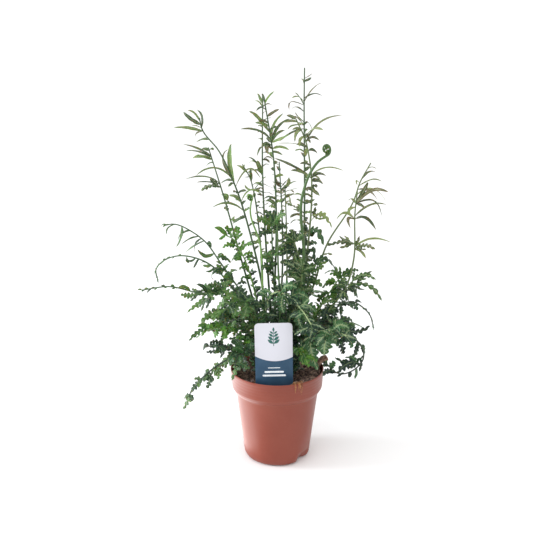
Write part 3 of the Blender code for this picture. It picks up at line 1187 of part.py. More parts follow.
def grow_leaflets(fronds, crowd):
    """The meshes of the leaflets that find room, each at the first swing that is clear."""
    meshes = {}
    missing = 0
    for frond in fronds:
        crowd.add(frond.name, stem_mesh(frond))
    for frond in fronds:
        meshes[frond.name] = []
        for leaflet in frond.leaflets:
            for sway in SWAYS:
                if not crowd.meets(frond.name, blade_mesh(leaflet, sway, LEAF_CLEARANCE)):
                    mesh = blade_mesh(leaflet, sway)
                    crowd.add(frond.name, mesh)
                    meshes[frond.name].append(mesh)
                    break
            else:
                missing += 1
    print("leaflets without room:", missing)
    return meshes


def frond_colour(name):
    """The colour name of a frond."""
    bare = name.removeprefix("sterile_").removeprefix("fertile_")
    if bare in BRIGHT:
        return "fern_bright"
    return "fern_dark" if bare in DARK else "fern_green"


def make_frond(frond, meshes):
    """One frond: its stem and leaflets joined into one body."""
    thing = new_object(frond.name, *stem_mesh(frond), frond_colour(frond.name))
    parts = [new_object(f"{frond.name}_part_{i}", *mesh) for i, mesh in enumerate(meshes)]
    if parts:
        apply_boolean(thing, parts, "UNION")
    return thing


def mesh_of(thing):
    """Vertices in millimetres and faces of an object."""
    vertices = [vertex.co / MM for vertex in thing.data.vertices]
    return vertices, [tuple(face.vertices) for face in thing.data.polygons]


def main():
    """Clear the scene and build the plant in its pot."""
    for thing in list(bpy.data.objects):
        bpy.data.objects.remove(thing)
    fronds = plan_fronds()
    still = [make_pot(), make_soil(fronds), make_label(), make_bark_chip(), make_root_fibres()]
    crowd = Crowd()
    for thing in still:
        crowd.add(thing.name, mesh_of(thing))
    meshes = grow_leaflets(fronds, crowd)
    for frond in fronds:
        make_frond(frond, meshes[frond.name])


main()
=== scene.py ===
"""Looks of a silver brake fern in its nursery pot, built round the CAD frame.

The plan of the plant repeats the CAD's, in millimetres and from the same named values, so that each
finer frond lies where its CAD node lies. Finished meshes are in metres, +Z up. The origin is the
middle of the pot's flat underside, and the front of the pot, with the label, faces -Y.
"""
import json
import logging
import math
from collections.abc import Iterable, Sequence
from dataclasses import dataclass, field, replace
from enum import Enum
from random import Random

import bmesh
import bpy
from mathutils import Matrix, Vector, noise
from mathutils.kdtree import KDTree

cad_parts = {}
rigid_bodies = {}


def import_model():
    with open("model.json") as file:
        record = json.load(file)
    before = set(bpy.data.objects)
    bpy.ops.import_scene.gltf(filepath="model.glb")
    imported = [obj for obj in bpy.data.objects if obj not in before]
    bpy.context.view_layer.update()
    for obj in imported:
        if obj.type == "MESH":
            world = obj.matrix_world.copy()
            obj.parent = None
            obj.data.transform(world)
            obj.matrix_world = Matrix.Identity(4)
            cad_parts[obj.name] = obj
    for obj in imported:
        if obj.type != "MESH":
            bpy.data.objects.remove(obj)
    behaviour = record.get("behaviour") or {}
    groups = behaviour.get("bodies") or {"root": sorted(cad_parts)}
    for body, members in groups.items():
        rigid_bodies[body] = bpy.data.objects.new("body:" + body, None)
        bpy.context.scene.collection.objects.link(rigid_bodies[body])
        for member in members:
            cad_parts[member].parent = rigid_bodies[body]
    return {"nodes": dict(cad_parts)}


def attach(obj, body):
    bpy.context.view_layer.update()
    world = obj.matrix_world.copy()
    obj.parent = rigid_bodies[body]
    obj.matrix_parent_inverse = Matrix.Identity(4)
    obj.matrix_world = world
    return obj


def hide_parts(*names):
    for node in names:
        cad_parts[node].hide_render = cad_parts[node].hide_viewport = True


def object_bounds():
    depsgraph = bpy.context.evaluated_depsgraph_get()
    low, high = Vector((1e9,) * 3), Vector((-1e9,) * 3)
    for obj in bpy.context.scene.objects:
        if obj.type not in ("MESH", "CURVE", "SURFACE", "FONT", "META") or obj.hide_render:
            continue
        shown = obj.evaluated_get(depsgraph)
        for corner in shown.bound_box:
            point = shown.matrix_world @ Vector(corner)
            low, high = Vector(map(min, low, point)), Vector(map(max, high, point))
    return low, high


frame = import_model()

CAD_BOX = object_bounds()
LOG = logging.getLogger("fern")
MM = 0.001
UP = Vector((0.0, 0.0, 1.0))
SHARP_ANGLE = 62.0

Triple = tuple[float, float, float]
Colour = Triple
Profile = Sequence[tuple[float, float]]
Object = bpy.types.Object
Material = bpy.types.Material
Socket = bpy.types.NodeSocket
Value = Socket | float | Sequence[float]

# Soil level, and the stems' feet in it, in millimetres
SOIL_TOP = 110.0
FOOT_BOTTOM = 96.0
FOOT_TOP = 113.0
FOOT_SPACING = 5.2
FOOT_ROWS = 7
FOOT_PULL = 0.22
STEM_STEP = 9.0
STEM_TOLERANCE = 1.5
TALL_FOOT_RADIUS = 1.45
LOW_FOOT_RADIUS = 1.25
STEM_TIP_RADIUS = 0.6
STEM_CLEARANCE = 0.8
SAMPLE_STEP = 2.5
ROOT_SAMPLE_STEP = 1.5
PUSH_ROUNDS = 90
PUSH_REACH = 6.0
PUSH_SHARE = 0.35
ROOT_WIDTH = 0.8
LEAN_POWER = 1.4
SWING_SCALE = 1.7
TIP_MATCH = 0.35
SWAYS = (0.0, -5.0, 5.0, -10.0, 10.0, -16.0, 16.0, -23.0, 23.0, -30.0, 30.0)

# The coil at the end of a young frond
COIL_STEPS = 14
COIL_TURN = math.radians(470.0)
COIL_CLOSING = 0.72
COIL_OVAL = (0.86, 1.15)
COIL_RISE = 1.2
COIL_START_SHARE = 0.62
COIL_END_SHARE = 0.4

# Fronds behind and at the sides, by rule: bearing in degrees, how far they reach and how high
REAR_FRONDS = 8
REAR_FIRST = -14.0
REAR_STEP = 29.0
REAR_REACH = (66.0, 98.0)
REAR_TOP = (148.0, 190.0)
REAR_ARCH = ((0.30, 0.0), (0.58, 3.0), (0.82, 2.0), (1.0, 9.0))
REAR_FIRST_RISE = 0.62
REAR_SHORT = 0.72
REAR_HIGH = 36.0
REAR_PAIRS = ((0.62, 1.15, 0.95), (0.84, 0.85, 1.0))
REAR_END = 0.985
REAR_LEAFLET = (27.0, 39.0)
REAR_WIDTH = 10.5
SEED = 41

# The camera: a picture 533 wide and high, taken from this place, in millimetres
EYE = Vector((-13.7, -1100.0, 584.0))
EYE_PITCH = math.radians(16.56)
EYE_FOCUS = 919.0
EYE_CENTRE = 266.5
SENSOR_WIDTH = 36.0
CLIP_END = 1000.0

# Fronds, given one by one. Each has how far it leans back, or forward if negative, from its foot to its
# end, then its stem's columns, rows and depths, then its leaflets, each as the column and row of its
# root, of its middle and of its tip, the depth of the tip beyond its root and its width. A ninth
# number, the lobes seen on each side, marks it as lobed
TALL_FRONDS = {
    "tall_centre": (14, """
    297 320 6, 300 270 8, 301.5 220 11, 301.8 169 12, 301.9 140 12, 302.2 118 12, 304.2 98 12,
    305.4 84 12, 304.6 68 12""", """
    305.2 80 309 76 312.6 73 -4 1.8, 305.4 82 308.6 79 311.4 77.4 5 2.6,
    305.3 85 303 80 300.2 79 3 2.2, 304 101 312.5 88.5 322.5 82.5 -6 1.8,
    304 99 313.5 93.5 322.7 96.2 4 2, 303.2 106 291 101.5 289.3 110.4 6 2.2,
    303.6 103 297.5 96 291.5 98.6 -5 2.2, 303.4 104 299 96 294.6 92.4 2 2,
    302.2 124 296.5 117 291.4 120 -6 3.2, 302.1 122 298 117 295.4 112 4 2.2,
    302 126 293.5 125 287.6 129.6 -9 1.8, 302 129 291 133 279.4 141.4 -12 2.2,
    302.1 125 308.4 122.5 312.8 132 7 2.2, 302 128 297 133 294.6 142 9 2,
    302 131 306.4 134 309.4 142 11 2.2, 301.9 147 290 143 278 143.4 7 1.8,
    301.6 213 294 206 286.5 203.4 5 6.2 2, 301.5 223 296 220 290.4 224 8 4,
    301.5 217 296 214 289.6 218 -6 3.4"""),
    "tall_right": (-34, """
    300 310 -4, 306.5 262 -5, 308.7 208 -6, 309.2 175 -6, 308.8 152 -6, 306 142 -7, 301.6 131 -9,
    296 119 -11""", """
    305.5 141 320.5 122 342.6 115.4 -10 1.8, 304.6 138.5 313 129 323.6 130.4 -15 3.6,
    306.4 143 312.4 137 319.8 140.8 -3 2.6, 308.7 151 313.5 150 317.6 154.4 4 3,
    308.3 149 306 152 305.2 156.8 -7 3, 303.5 136 300 140 299.4 147 -9 2.6,
    300.6 129 296 133 295.4 141 -14 2.2, 298 123.5 290.5 121 283.5 122.6 -7 2.8,
    309.2 176 326 167.4 343.9 170.8 -7 1.8, 309.2 177 318 173 326.6 176 4 3.2,
    309.2 179 316 176.5 320.8 181 -10 2.4, 309.2 181 317 180.5 323.4 184 7 4.4,
    309.2 177 300 171.5 290.6 170.6 -6 2.8, 309.2 180 294 166 273.8 158 6 2.8,
    309 188 313.4 190.5 319.9 195.8 -5 4.6, 308.4 221 321.6 214.5 331.9 228 -6 6 3"""),
    "tall_left": (38, """
    268.7 285 4, 265.9 243 4, 264.5 208 4, 262.7 180 4, 263.5 150 4, 263.3 112 4, 262.6 94 4""", """
    263.2 105 260 98 257.4 93.2 -4 3, 263.3 106 258.5 101.5 253.8 101.4 5 1.6,
    263.4 147 260 148 256.6 157 -7 2.4, 262.8 176 256 162 247.6 157 5 1.8,
    262.9 174 259 166 257 160.4 -5 4.4, 263 170 254 161 248 165 9 1.8,
    263.3 160 266.5 160 269.6 163 -4 3.2, 262.8 183 268 186 273.6 188 7 2.2,
    263.6 194 268 192.4 273.2 195.4 9 2.6, 262.8 181 258 184.5 253.4 190.6 2 2.2"""),
    "tall_middle": (-30, """
    274.3 290 -8, 276.3 243 -10, 276.1 208 -10, 274.6 180 -10, 272.6 151 -10, 268.1 130.2 -10,
    265.4 110 -10, 263.9 97 -10""", """
    264.6 104 268 97.5 274.6 90.8 -4 2, 264.4 102 263.5 97 261.8 93.4 4 1.8,
    268.6 133.5 258 117.5 249 111.4 -6 3, 267.6 128 261.5 123.5 255 122.4 5 3,
    269.8 139 257 130 240 129.2 -9 2.4, 270.6 142 273 126 283.6 113.2 -7 2.4,
    270.8 143 278 127 289.8 118.6 6 2.4, 271 144 280 139 289.4 134.4 -12 3,
    270.9 143.5 277 134 285.2 130.2 -2 2.8, 271.6 147 267 146 268 155 -9 4,
    271.2 145 266 143 261.2 148 -5 3.2, 271.9 148 280 146.6 289.4 150 -7 2.8,
    272.5 151 277 152 283 155 5 2.6"""),
    "leaning_left": (-28, """
    263 290 -4, 256 258 -4, 246 219.3 -4, 239.6 202 -4, 235.6 187 -4, 227.5 170.8 -4, 218.6 150.6 -4,
    206.5 135.9 -4, 201.6 128 -4, 199.4 118 -4""", """
    201.4 127 201.8 116 196.9 109.6 3 2, 200.4 122 194 112.5 187.4 110.6 -4 2,
    200.8 124 191 119 183.2 111.8 6 3.4, 202.4 129.5 197 126 191.6 125.6 -6 2.2,
    204 132.5 188.5 127.8 173.6 127.4 -2 3.2, 203 131 197 133 194.8 138 5 2.2,
    210 139.8 203.3 139 195.8 142.2 6 2.4, 234.6 184 230 160 231.5 143.4 -7 4.8,
    232.5 180 223 160 228.8 149 7 2, 231.5 178 214 167.5 195.4 176 -9 2.4,
    233.6 182 227 180 220.3 183.6 5 2.4, 235 185 231.5 184 228.2 187 -4 3.6,
    235.2 186 248.5 169 260.9 179.2 -8 2, 239.4 201.5 234.5 196.5 228 195 5 2.2,
    240 203 250 190 262.8 195.2 -7 2, 243.8 213 229 203 211.8 207.6 -7 2.6,
    246 219.5 239 219 232.4 224 4 3.8"""),
    "leaning_left_low": (30, """
    247 282 12, 238 248 12, 230 219 12, 224.3 198.9 12, 218.6 184.2 12, 215.4 168.3 12,
    211.6 157.4 12, 208.4 147.6 12""", """
    209 149.5 204 148 199.6 151 5 3.8, 209.2 150 211.6 148.8 213.9 150.2 -4 3.2,
    210.8 155 200 149.5 182.4 144 -4 3, 211.2 156 198 151.5 186 150.6 8 2.2,
    212 159 201 156.5 192.2 158.4 3 4.6, 211.6 157.4 203 155.5 196 153.8 -8 2.6,
    214 163.5 209.5 163 205.6 167 4 2.2, 219 185.5 205 176.5 184.3 179.6 -5 2.4,
    218.6 184 207 181.5 196.2 182.4 6 1.8, 219.8 188 210 185 201.2 190.8 -3 7 2,
    221.4 192 225.6 195 227.9 200.8 4 5.6"""),
    "slim_left": (34, """
    262 280 16, 260 240 16, 256.8 209.7 15, 253 188.7 14, 250.5 179.1 14, 242.4 164.6 14""", """
    247.6 174 242 167.5 236.2 165 4 2.8, 249.2 177 246 177 242.6 176.8 -4 2.6,
    251.2 182 251 175 250 168 -9 3.4, 253.2 190 248 189 244.6 184 6 2.4"""),
    "upright_right": (-22, """
    300 338 -9, 324 312 -12, 343 292 -14, 352.3 268 -14, 354.2 242 -13, 354.8 222 -12, 355.6 204 -12,
    357.4 191 -12""", """
    354.1 245 341 242 327.8 245.4 7 5.4 2, 354.2 243.5 346 240.5 339 235.5 -7 3.8,
    353.9 250 364 245 375.5 249.6 -5 5.4 2, 354 247 372 238.5 392 242.9 5 2.2,
    353.9 249 360 251 366 258.8 -9 4, 354.8 220 366 218.4 376.3 230.5 -5 4,
    354.9 218 345 212.8 336.1 219.8 5 3, 354.9 219 348 219 350.8 229 -6 3,
    355 216 371 204.4 387 204.8 9 2, 355.8 203 364 190.5 367.9 182 -5 3.4,
    355.8 204 372 190.5 388.8 192.4 -8 4, 355.8 203 374 200.5 382 217.3 4 2.2,
    355.7 205 361 205.6 364.2 208.4 -6 4, 355.8 202 351.5 199 348.6 200.8 5 2.8,
    355.5 207 349 210 352.6 216.6 -7 2.8"""),
    "slanted_right": (30, """
    298 318 5, 312.2 288.8 6, 319.9 262.8 6, 326.2 246 6, 341.7 219.3 6, 354.4 199 6, 359.8 183 6,
    370.8 163 6""", """
    364 174 370 167.4 377.2 169.4 -5 2, 361.6 178 368.5 171.8 375.9 172.4 5 2,
    359 186 372 179.4 382 181.8 -4 2.2, 357.6 190 370 191.5 377.9 201.5 5 3.4,
    356.4 194 373 189 387 203.4 12 2.2, 360.2 181.5 356.4 181 357.4 186 -4 1.8"""),
    "slim_centre": (40, """
    281 300 18, 282.7 239 18, 281.3 201 18, 280.4 186 18, 279.2 162 18""", """
    280.6 189 286 181 291.2 176.2 -5 3.2, 280.8 192 289 184 297.6 181 4 3,
    281 195 290 190 300.4 187.4 -9 3, 280.6 189 277 183 275.6 176.6 6 3.2,
    281.2 198 277 196 272.6 199 -5 3"""),
    "slim_right": (46, """
    287 290 24, 286.9 257 24, 286.2 222 24, 285 204 23, 285 186 22""", """
    285 192 290 190 294.4 193 -5 3.4, 285 196 289 197 289.8 203 5 3.4,
    285 190 280 188 276 190.6 7 3.4, 285 188 288.6 183 288.4 177.4 -8 3.4"""),
}

LOW_FRONDS = {
    "arch_left_high": (22, """
    262 335 -10, 243 300 -11, 227.5 274.6 -12, 215.3 255 -14, 204.4 241 -15, 193.2 232.5 -16,
    181.2 227.6 -17, 172.1 224.1 -17, 163.8 225.6 -18""", """
    174 225 167.5 228 167 235 -4 2, 181 227.6 181 236 176 247.5 -5 3,
    191 231.6 182 233.5 177.4 241.6 5 3, 200 237.6 191 237.8 180.8 244.4 -5 2.2,
    202 239 195.6 244 194.4 254 6 2.8, 203 240 194 246 185.2 253 12 2.6,
    206 242.6 209.5 243 211.6 247.6 -6 3, 214.6 254 205 256 197.2 249.2 -4 4.6,
    218 259 224 257.5 231 263.6 5 6.6 2, 224 269 217 268.5 212.5 274.5 -5 6 2"""),
    "arch_left_middle": (48, """
    258 330 8, 236 294 9, 222 275 10, 209.3 264.1 10, 200.2 259.9 10, 185.4 255.7 10, 172.1 257.1 10,
    160.2 263.4 10, 155.9 270 10, 157.4 278.4 10""", """
    198.5 259.4 196 262.5 193.4 268.6 -5 3, 188 256.2 186.5 259.5 189.4 263 5 3.4,
    195 258.2 190.5 261 184.4 259.6 -4 3.6, 212 266 207 266 202.8 264.8 5 3.8,
    214.5 268 209 271 204 270.4 -5 4, 217 270.5 211.5 275 214.2 280.2 4 3,
    224 277.5 229 276.5 232 282.8 -6 7.4 2, 230 286 222 283 217 289 6 6.4 2"""),
    "arch_left_low": (-8, """
    256 335 -20, 240 303 -22, 228.2 293 -24, 217.7 292.2 -25, 200.2 293 -26, 189.6 290.8 -27,
    168.6 286.6 -28, 156 289 -28, 141.9 290.1 -29""", """
    207 292.5 203 286.5 196 284.4 -5 3.6, 212 292.4 207 286.5 202.6 287.6 5 6.4 2,
    219 292.4 214 286 209 284.6 -4 6.4 2, 200 293 190 295 180.6 294.2 4 6 2,
    192 291.4 185 286.5 177.6 287.6 -4 4, 206 292.8 198 303 186.6 312.6 -5 4.4 2,
    215 292.4 205 301 197 307.6 7 6 2, 226 293 219 286 214 280.5 7 6 2"""),
    "low_left_broad": (-14, """
    258 352 -26, 242 326 -28, 232 318 -30, 223 317.5 -32, 214 317.2 -33""", """
    217 317.2 209 315.5 201.3 323 -3 8.6 2, 224 317.5 220 322 215.4 325 -5 6.4 2,
    227 317.6 221 310.5 214.6 310 4 6.4 2, 233 319 228 311 224 305 -5 6.6 2,
    236 321 233 326 227 326.6 6 6 2"""),
    "low_left_bright": (-20, """
    262 358 -30, 244 338 -32, 232 330.6 -34, 219 328.5 -35, 206 327 -36""", """
    209 327.4 203 325 197 327.6 3 4, 210 327.4 200 331 188.8 341 -6 5 2,
    218 328.4 216.4 332 214.6 337.6 4 6.6 2, 226 329.6 225.4 333 224.2 339 -6 6.8 2,
    222 329 218 323.5 212 322.6 6 5.4 2, 238 334 240 339 238.4 346 5 6.6 2"""),
    "low_left_dark": (-16, """
    266 366 -36, 248 352 -37, 232 347.2 -39, 218 346.4 -41, 206 346 -42""", """
    209 346.2 205 345.4 203 350.8 2 4.4, 224 346.6 217 341.6 209.6 343 -4 4.4 2,
    227 346.8 217 351 206.2 351.8 5 4.6 2, 221 346.4 218 350.5 214.6 354 -5 4,
    236 348 231 354 230.4 361 -4 5.6 2, 240 349.4 236 341 229 338 6 5.6 2"""),
    "trailing_left": (6, """
    262 362 -11, 247 354 -13, 234 358 -15, 227 364.4 -16, 218.9 368.7 -18, 209 374 -20, 200 380 -21,
    192.5 388.4 -22, 189 396 -22""", """
    191 392 188.5 399 182.8 409 -1 7.4 2, 222 367.4 215 368 208.6 376.4 4 6.6 2,
    211 373 209.4 381 206.3 388.2 -5 6.6 2, 212 372.4 205 375 199.4 382.6 5 6.4 2,
    203 378 196.5 384 191.4 391.8 -4 6.8 2, 219.5 368.6 219 373.6 217.8 379.2 -5 4.8 2,
    229 362.4 223.5 364 217.4 366.4 6 6.6 2, 234 358.4 231.4 354 227.6 361.8 -6 5.6 2,
    238 356.6 236.4 366 231 380.6 -9 6.4 2"""),
    "light_right_top": (26, """
    300 345 -16, 320 307 -20, 334 288 -23, 340 277 -25""", """
    339 279 349 270.5 358.6 270.6 -4 6.4 2, 336.6 284 329 282 321.6 287.6 4 7.6 2,
    334 288 335 296 330 302 -5 7.4 2, 339.4 278 333 270.5 324.2 273.6 6 4.4 2,
    338.6 280 342.4 285 344.4 291.4 -6 5, 330 293.6 322 295 318 302 6 7 2"""),
    "striped_right": (-12, """
    304 352 -14, 327 313 -18, 342 293 -21, 350.8 283.4 -23""", """
    350.2 284 363 275 376.2 280.4 -4 5 3, 349.6 285 368 285 382 300.8 -8 5.6 3,
    347.4 287.4 354 289 357.9 297.6 5 8 2, 345 290 341 294.5 340 300 -6 6.4 2,
    344 291.4 347 295.5 348.8 302.4 6 7.4 2, 348.6 286.2 344 281 346 274.4 9 6 2"""),
    "chain_right": (38, """
    304 342 2, 327 318 1, 343 304 -2, 350 301.5 -3, 358.5 304.8 -4, 366.3 310.2 -5, 371.6 318.6 -6,
    373.6 328 -7""", """
    348 302 354 305 357.4 310.4 -5 7.4 2, 344 303.6 341 309 341.6 317 5 7.4 2,
    339 307.4 334 312 335 319.6 -6 7.2 2, 354 302.8 358 300.6 362.4 303.4 4 3.2,
    335 310.6 328 310 325.6 316.4 6 6.6 2"""),
    "palmate_right": (-14, """
    290 358 -34, 305 340 -38, 316 332.6 -42, 326 330.4 -45, 336 331.2 -47, 346 336 -49""", """
    320 331.6 307 328.6 294 334.8 -3 8 3, 324.8 330.8 324.8 342 324 355 -3 15 3,
    318 332.2 311 336 308 343 4 8 2, 329 330.6 334.6 336 335.6 344.6 5 9 2,
    333 331 340 325 349 328.4 -4 8 2, 343 334.6 350 336.4 357.4 340 4 6.8 2,
    310 336.4 311.4 352 317.9 370 2 11 3"""),
    "pointed_right": (4, """
    298 348 -24, 320 326 -30, 336 321.6 -33, 346 326 -34""", """
    344 325 355 332 370.4 326 -4 6.6 3, 340 323 348 319 352.6 322.6 5 6 2,
    332 322.4 330 329 333.6 335 6 6.4 2, 326 323.6 324 314 328 306.6 -5 6.4 2"""),
    "loop_right": (-12, """
    294 362 -28, 318 343 -34, 340 334.6 -38, 352 337 -40, 358.8 343 -41, 363.4 351 -42, 363.2 359 -43,
    358.5 366 -44, 351 371.5 -45, 342 374 -46, 334 371.5 -47, 327.5 364.3 -48""", """
    344 334.6 341.6 344 343.2 354.4 4 9 3, 348 335.4 351 340.5 350.6 348.4 -5 6.6 2,
    357 341 357.4 350 352.2 357.4 5 5.6 2, 363.4 355 350 363 334.4 356.6 6 5.4 3,
    360 364 349 363 337.6 372.2 -5 8.6 3, 356 368 356.6 374 354.8 379.4 4 4,
    350 371.8 350 374.6 348.6 377.4 -4 3.4, 361.4 347 363.6 348.6 365 354 4 4.4 2"""),
    "young_front": (-8, """
    287 372 -34, 291 356 -39, 297 348.4 -43, 302 351 -46, 305.4 357.6 -48""", """
    303.6 354 306 360 308.8 367.4 -1 5.6 2, 298.6 349 297 352 297.4 356 -4 4.4,
    301.4 350.6 305.4 350.4 308.6 353.6 4 4.4, 303.4 353.6 301.6 358.6 303.2 363.6 -5 4.6,
    304.8 356.4 309.4 357 311.8 361.6 4 4.4"""),
    "long_front": (-22, """
    272 346 -20, 266 312 -27, 272 294 -33, 281 292.4 -37, 293 301 -42, 303 311.4 -45, 311 324.4 -48""", """
    280 292.4 287.6 285.6 297 287.8 -4 8 2, 289 298 299 294 309 299 4 9 3,
    298 306 307.4 305 315 312 -4 9 2, 284 294.4 281.4 303 283.6 313 5 8.4 2,
    301 309 298.4 318 302.4 328.6 4 8 2, 309 320.6 311.4 328 310 336.6 -2 8.4 2"""),
    "long_front_left": (-20, """
    264 352 -22, 258 322 -27, 250 305 -32, 240 300.4 -36, 229 306 -40, 222 314 -42""", """
    249 304.2 243 294 236 292.6 4 8 2, 240 300.4 232 296 223 299.6 -4 8 2,
    231 304.8 223 303.4 217 309 4 7 2, 245 302 246 311 241.6 319 -5 9 3,
    236 302 236.4 310 232 317.6 5 8 2, 252 309 259.4 303 266.6 305 4 8 2"""),
    "front_left": (-10, """
    262 374 -30, 252 358 -36, 244 353 -41, 237 358.4 -46, 235 366 -49""", """
    248 355 250.6 345 247.6 336 4 7.6 2, 244 353 238 348 232 350 -4 6.6 2,
    241 355 244.6 362 243.8 371.4 5 6.6 2, 237.4 358 232 359.4 229.4 366 -4 6 2"""),
    "middle_striped": (-12, """
    290 318 -14, 300.4 264 -14, 297.5 252 -14, 294.4 242 -15""", """
    294.8 243.4 288 236.4 281.2 234.6 -4 7 2, 294.4 242 293.4 234.6 290.2 229.4 5 7 2,
    294.8 243 299 236.6 304 233.6 -8 6 2, 295.8 247 287 243.4 279.4 246.8 4 7.4 2,
    297.2 251 287.4 249.6 278.6 255.4 -5 8 3, 298.4 256 304.4 252 309.4 253 6 6.6 2"""),
    "middle_dark": (10, """
    293 322 -10, 304.5 264 -12, 305.4 250 -13, 305.6 236 -14""", """
    305.6 239 315 229 323.8 245.4 -5 9.6 3, 305.5 247 311 242.4 317.6 243.6 4 5.4 2,
    305.4 252 310 251.4 314.4 247 -7 4.6 2, 305.6 237 302 231 297.4 231.6 6 5.6 2"""),
    "middle_ribbed": (-20, """
    286 330 -24, 300.4 292 -25, 302 276 -26, 302.6 266 -26""", """
    302.2 274 291.6 265 279.8 262 -5 7.4 3, 301.8 277 292 271.4 281 276.6 5 7 2,
    302.4 270 299 264.6 293.8 262.6 -9 5.6 2, 301.4 280 294 283.4 287.4 289 6 7 2"""),
    "middle_forked": (-10, """
    290 336 -18, 305 296 -18, 309.6 278 -18, 310.4 270 -18""", """
    310 274 306.6 268.4 305.2 262.4 4 5, 310.2 272 311.4 266.6 312.6 262.2 -4 4.6,
    310 275 317 269 324.2 266.2 -6 5.8 2, 310.2 273 324 258 337 273.4 6 6 3,
    309 281 316 281 322 286.6 -5 6.6 2"""),
    "bright_left": (12, """
    262 320 0, 247 272 -3, 240 250 -6, 233 239 -8, 225 235 -9""", """
    227 236 220.4 229 214.2 227.2 4 4.2, 230 237 229.4 230.4 224.4 226.8 -5 6.6 2,
    225.6 235.4 221.4 237.6 219 239.6 -4 4.4, 235 241.4 237.4 233 236.4 225.4 5 6.6 2,
    238 246 230 244 222.4 247.6 -5 6.6 2, 242 256 236 257 231 262 6 6.6 2,
    240 250 246.4 244 252.6 244.4 -7 6 2"""),
    "broad_middle": (-26, """
    276 320 -16, 273 270 -18, 272 236 -19, 271.6 224 -20""", """
    271.8 227 264 219 256.4 219.6 -4 7 2, 271.8 225 270 216 264.6 209.8 5 7 2,
    271.8 226 278 217.4 285.4 214.4 -6 7.4 2, 272 230 280 225 288 228 5 7 2,
    272 233 265 231 259 236.4 -6 6.6 2, 273 262 266 255.6 259.8 257 6 6 2,
    273.2 270 266.4 266 261 270 -6 6.4 2"""),
}

# Young fronds: the lean, the stem, the column and row of the coil's middle, its radius and the stem's
CROZIERS = {
    "crozier_tall": (-18, """
    300 320 -20, 303.4 271 -21, 304 235 -21, 302.7 208 -21, 303.1 192.6 -21, 306.6 182.5 -21,
    311.4 171 -21, 318 162 -21""", (326, 149.6), 7.0, 2.0),
    "crozier_lime": (-14, """
    263 300 -24, 262 264 -24, 258.6 236 -24, 254 219 -24, 250.4 208 -24""", (249.6, 197.8), 4.6, 1.3),
    "crozier_green": (-16, """
    280 300 -30, 278 262 -30, 277.6 236 -30""", (275.6, 222.4), 4.4, 1.3),
}


def sight_line(column: float, row: float) -> Vector:
    """Direction in which a place of the picture lies.

    Args:
        column: The picture's column.
        row: The picture's row.

    Returns:
        The direction, scaled to one millimetre of depth.
    """
    right = (column - EYE_CENTRE) / EYE_FOCUS
    rise = (EYE_CENTRE - row) / EYE_FOCUS
    depth = math.cos(EYE_PITCH) + rise * math.sin(EYE_PITCH)
    height = rise * math.cos(EYE_PITCH) - math.sin(EYE_PITCH)
    return Vector((right, depth, height)) / depth


def place(column: float, row: float, depth: float) -> Vector:
    """Point of the plant seen at a column and a row, so far behind the pot's middle."""
    return EYE + sight_line(column, row) * (depth - EYE.y)


def picture(point: Vector) -> tuple[float, float]:
    """Column and row of the picture at which a point is seen.

    Args:
        point: The point, in millimetres.

    Returns:
        The column and the row.
    """
    away = point - EYE
    forward = away.y * math.cos(EYE_PITCH) - away.z * math.sin(EYE_PITCH)
    rise = away.y * math.sin(EYE_PITCH) + away.z * math.cos(EYE_PITCH)
    return EYE_CENTRE + EYE_FOCUS * away.x / forward, EYE_CENTRE - EYE_FOCUS * rise / forward


def rows_of(table: str) -> list[list[float]]:
    """The rows of a table, which are parted by commas and their numbers by spaces."""
    return [[float(number) for number in row.split()] for row in table.split(",")]


def heading(angle: float) -> Vector:
    """The level direction at a bearing in radians."""
    return Vector((math.cos(angle), math.sin(angle), 0.0))


def runs(points: Sequence[Vector]) -> Iterable[tuple[Vector, Vector]]:
    """Each point with the one after it."""
    return zip(points, points[1:])


def steps_in(length: float, step: float) -> int:
    """How many steps of at most a given size a length takes."""
    return max(1, math.ceil(length / step))


@dataclass
class Leaflet:
    """A leaflet: the root, middle and tip of its rib, its width, if it is lobed, and how it faces."""

    root: Vector
    middle: Vector
    tip: Vector
    width: float
    lobed: bool
    face: Vector

    def swung(self, sway: float) -> "Leaflet":
        """The leaflet with its tip moved back along the line of sight."""
        middle = self.middle + sight_line(*picture(self.middle)) * 0.5 * sway
        return replace(self, middle=middle, tip=self.tip + sight_line(*picture(self.tip)) * sway)

    def rib(self, share: float) -> tuple[Vector, Vector]:
        """A place on the rib.

        Args:
            share: The share of the way from the root to the tip.

        Returns:
            The point, and the rib's direction there.
        """
        bend = self.middle * 2.0 - (self.root + self.tip) * 0.5
        left = 1.0 - share
        point = self.root * left**2 + bend * 2.0 * share * left + self.tip * share**2
        along = (bend - self.root) * left + (self.tip - bend) * share
        return point, along.normalized()


@dataclass
class Frond:
    """A frond's stem through its points, thick at the foot, with the leaflets it carries."""

    name: str
    points: list[Vector]
    foot_radius: float
    tip_radius: float = STEM_TIP_RADIUS
    rows: Sequence[Sequence[float]] | Vector = ()
    crook: tuple[tuple[float, float], float, float] | None = None
    leaflets: list[Leaflet] = field(default_factory=list)

    def lengths(self) -> list[float]:
        """Distance along the stem at each of its points."""
        total = [0.0]
        for first, second in runs(self.points):
            total.append(total[-1] + (second - first).length)
        return total

    def radii(self) -> list[float]:
        """Radius of the stem at each of its points."""
        along = self.lengths()
        return [self.foot_radius + (self.tip_radius - self.foot_radius) * (way / along[-1]) for way in along]


def seen_stem(table: str, lean: float) -> list[Vector]:
    """Points of a stem that is given by columns, rows and depths.

    Args:
        table: The stem's columns, rows and depths.
        lean: How far its end leans back, in millimetres.

    Returns:
        The points, in millimetres.
    """
    rows, along = rows_of(table), [0.0]
    for (column, row, _), (next_column, next_row, _) in zip(rows, rows[1:]):
        along.append(along[-1] + math.hypot(next_column - column, next_row - row))
    return [place(column, row, depth + lean * (way / along[-1])**LEAN_POWER)
            for (column, row, depth), way in zip(rows, along)]


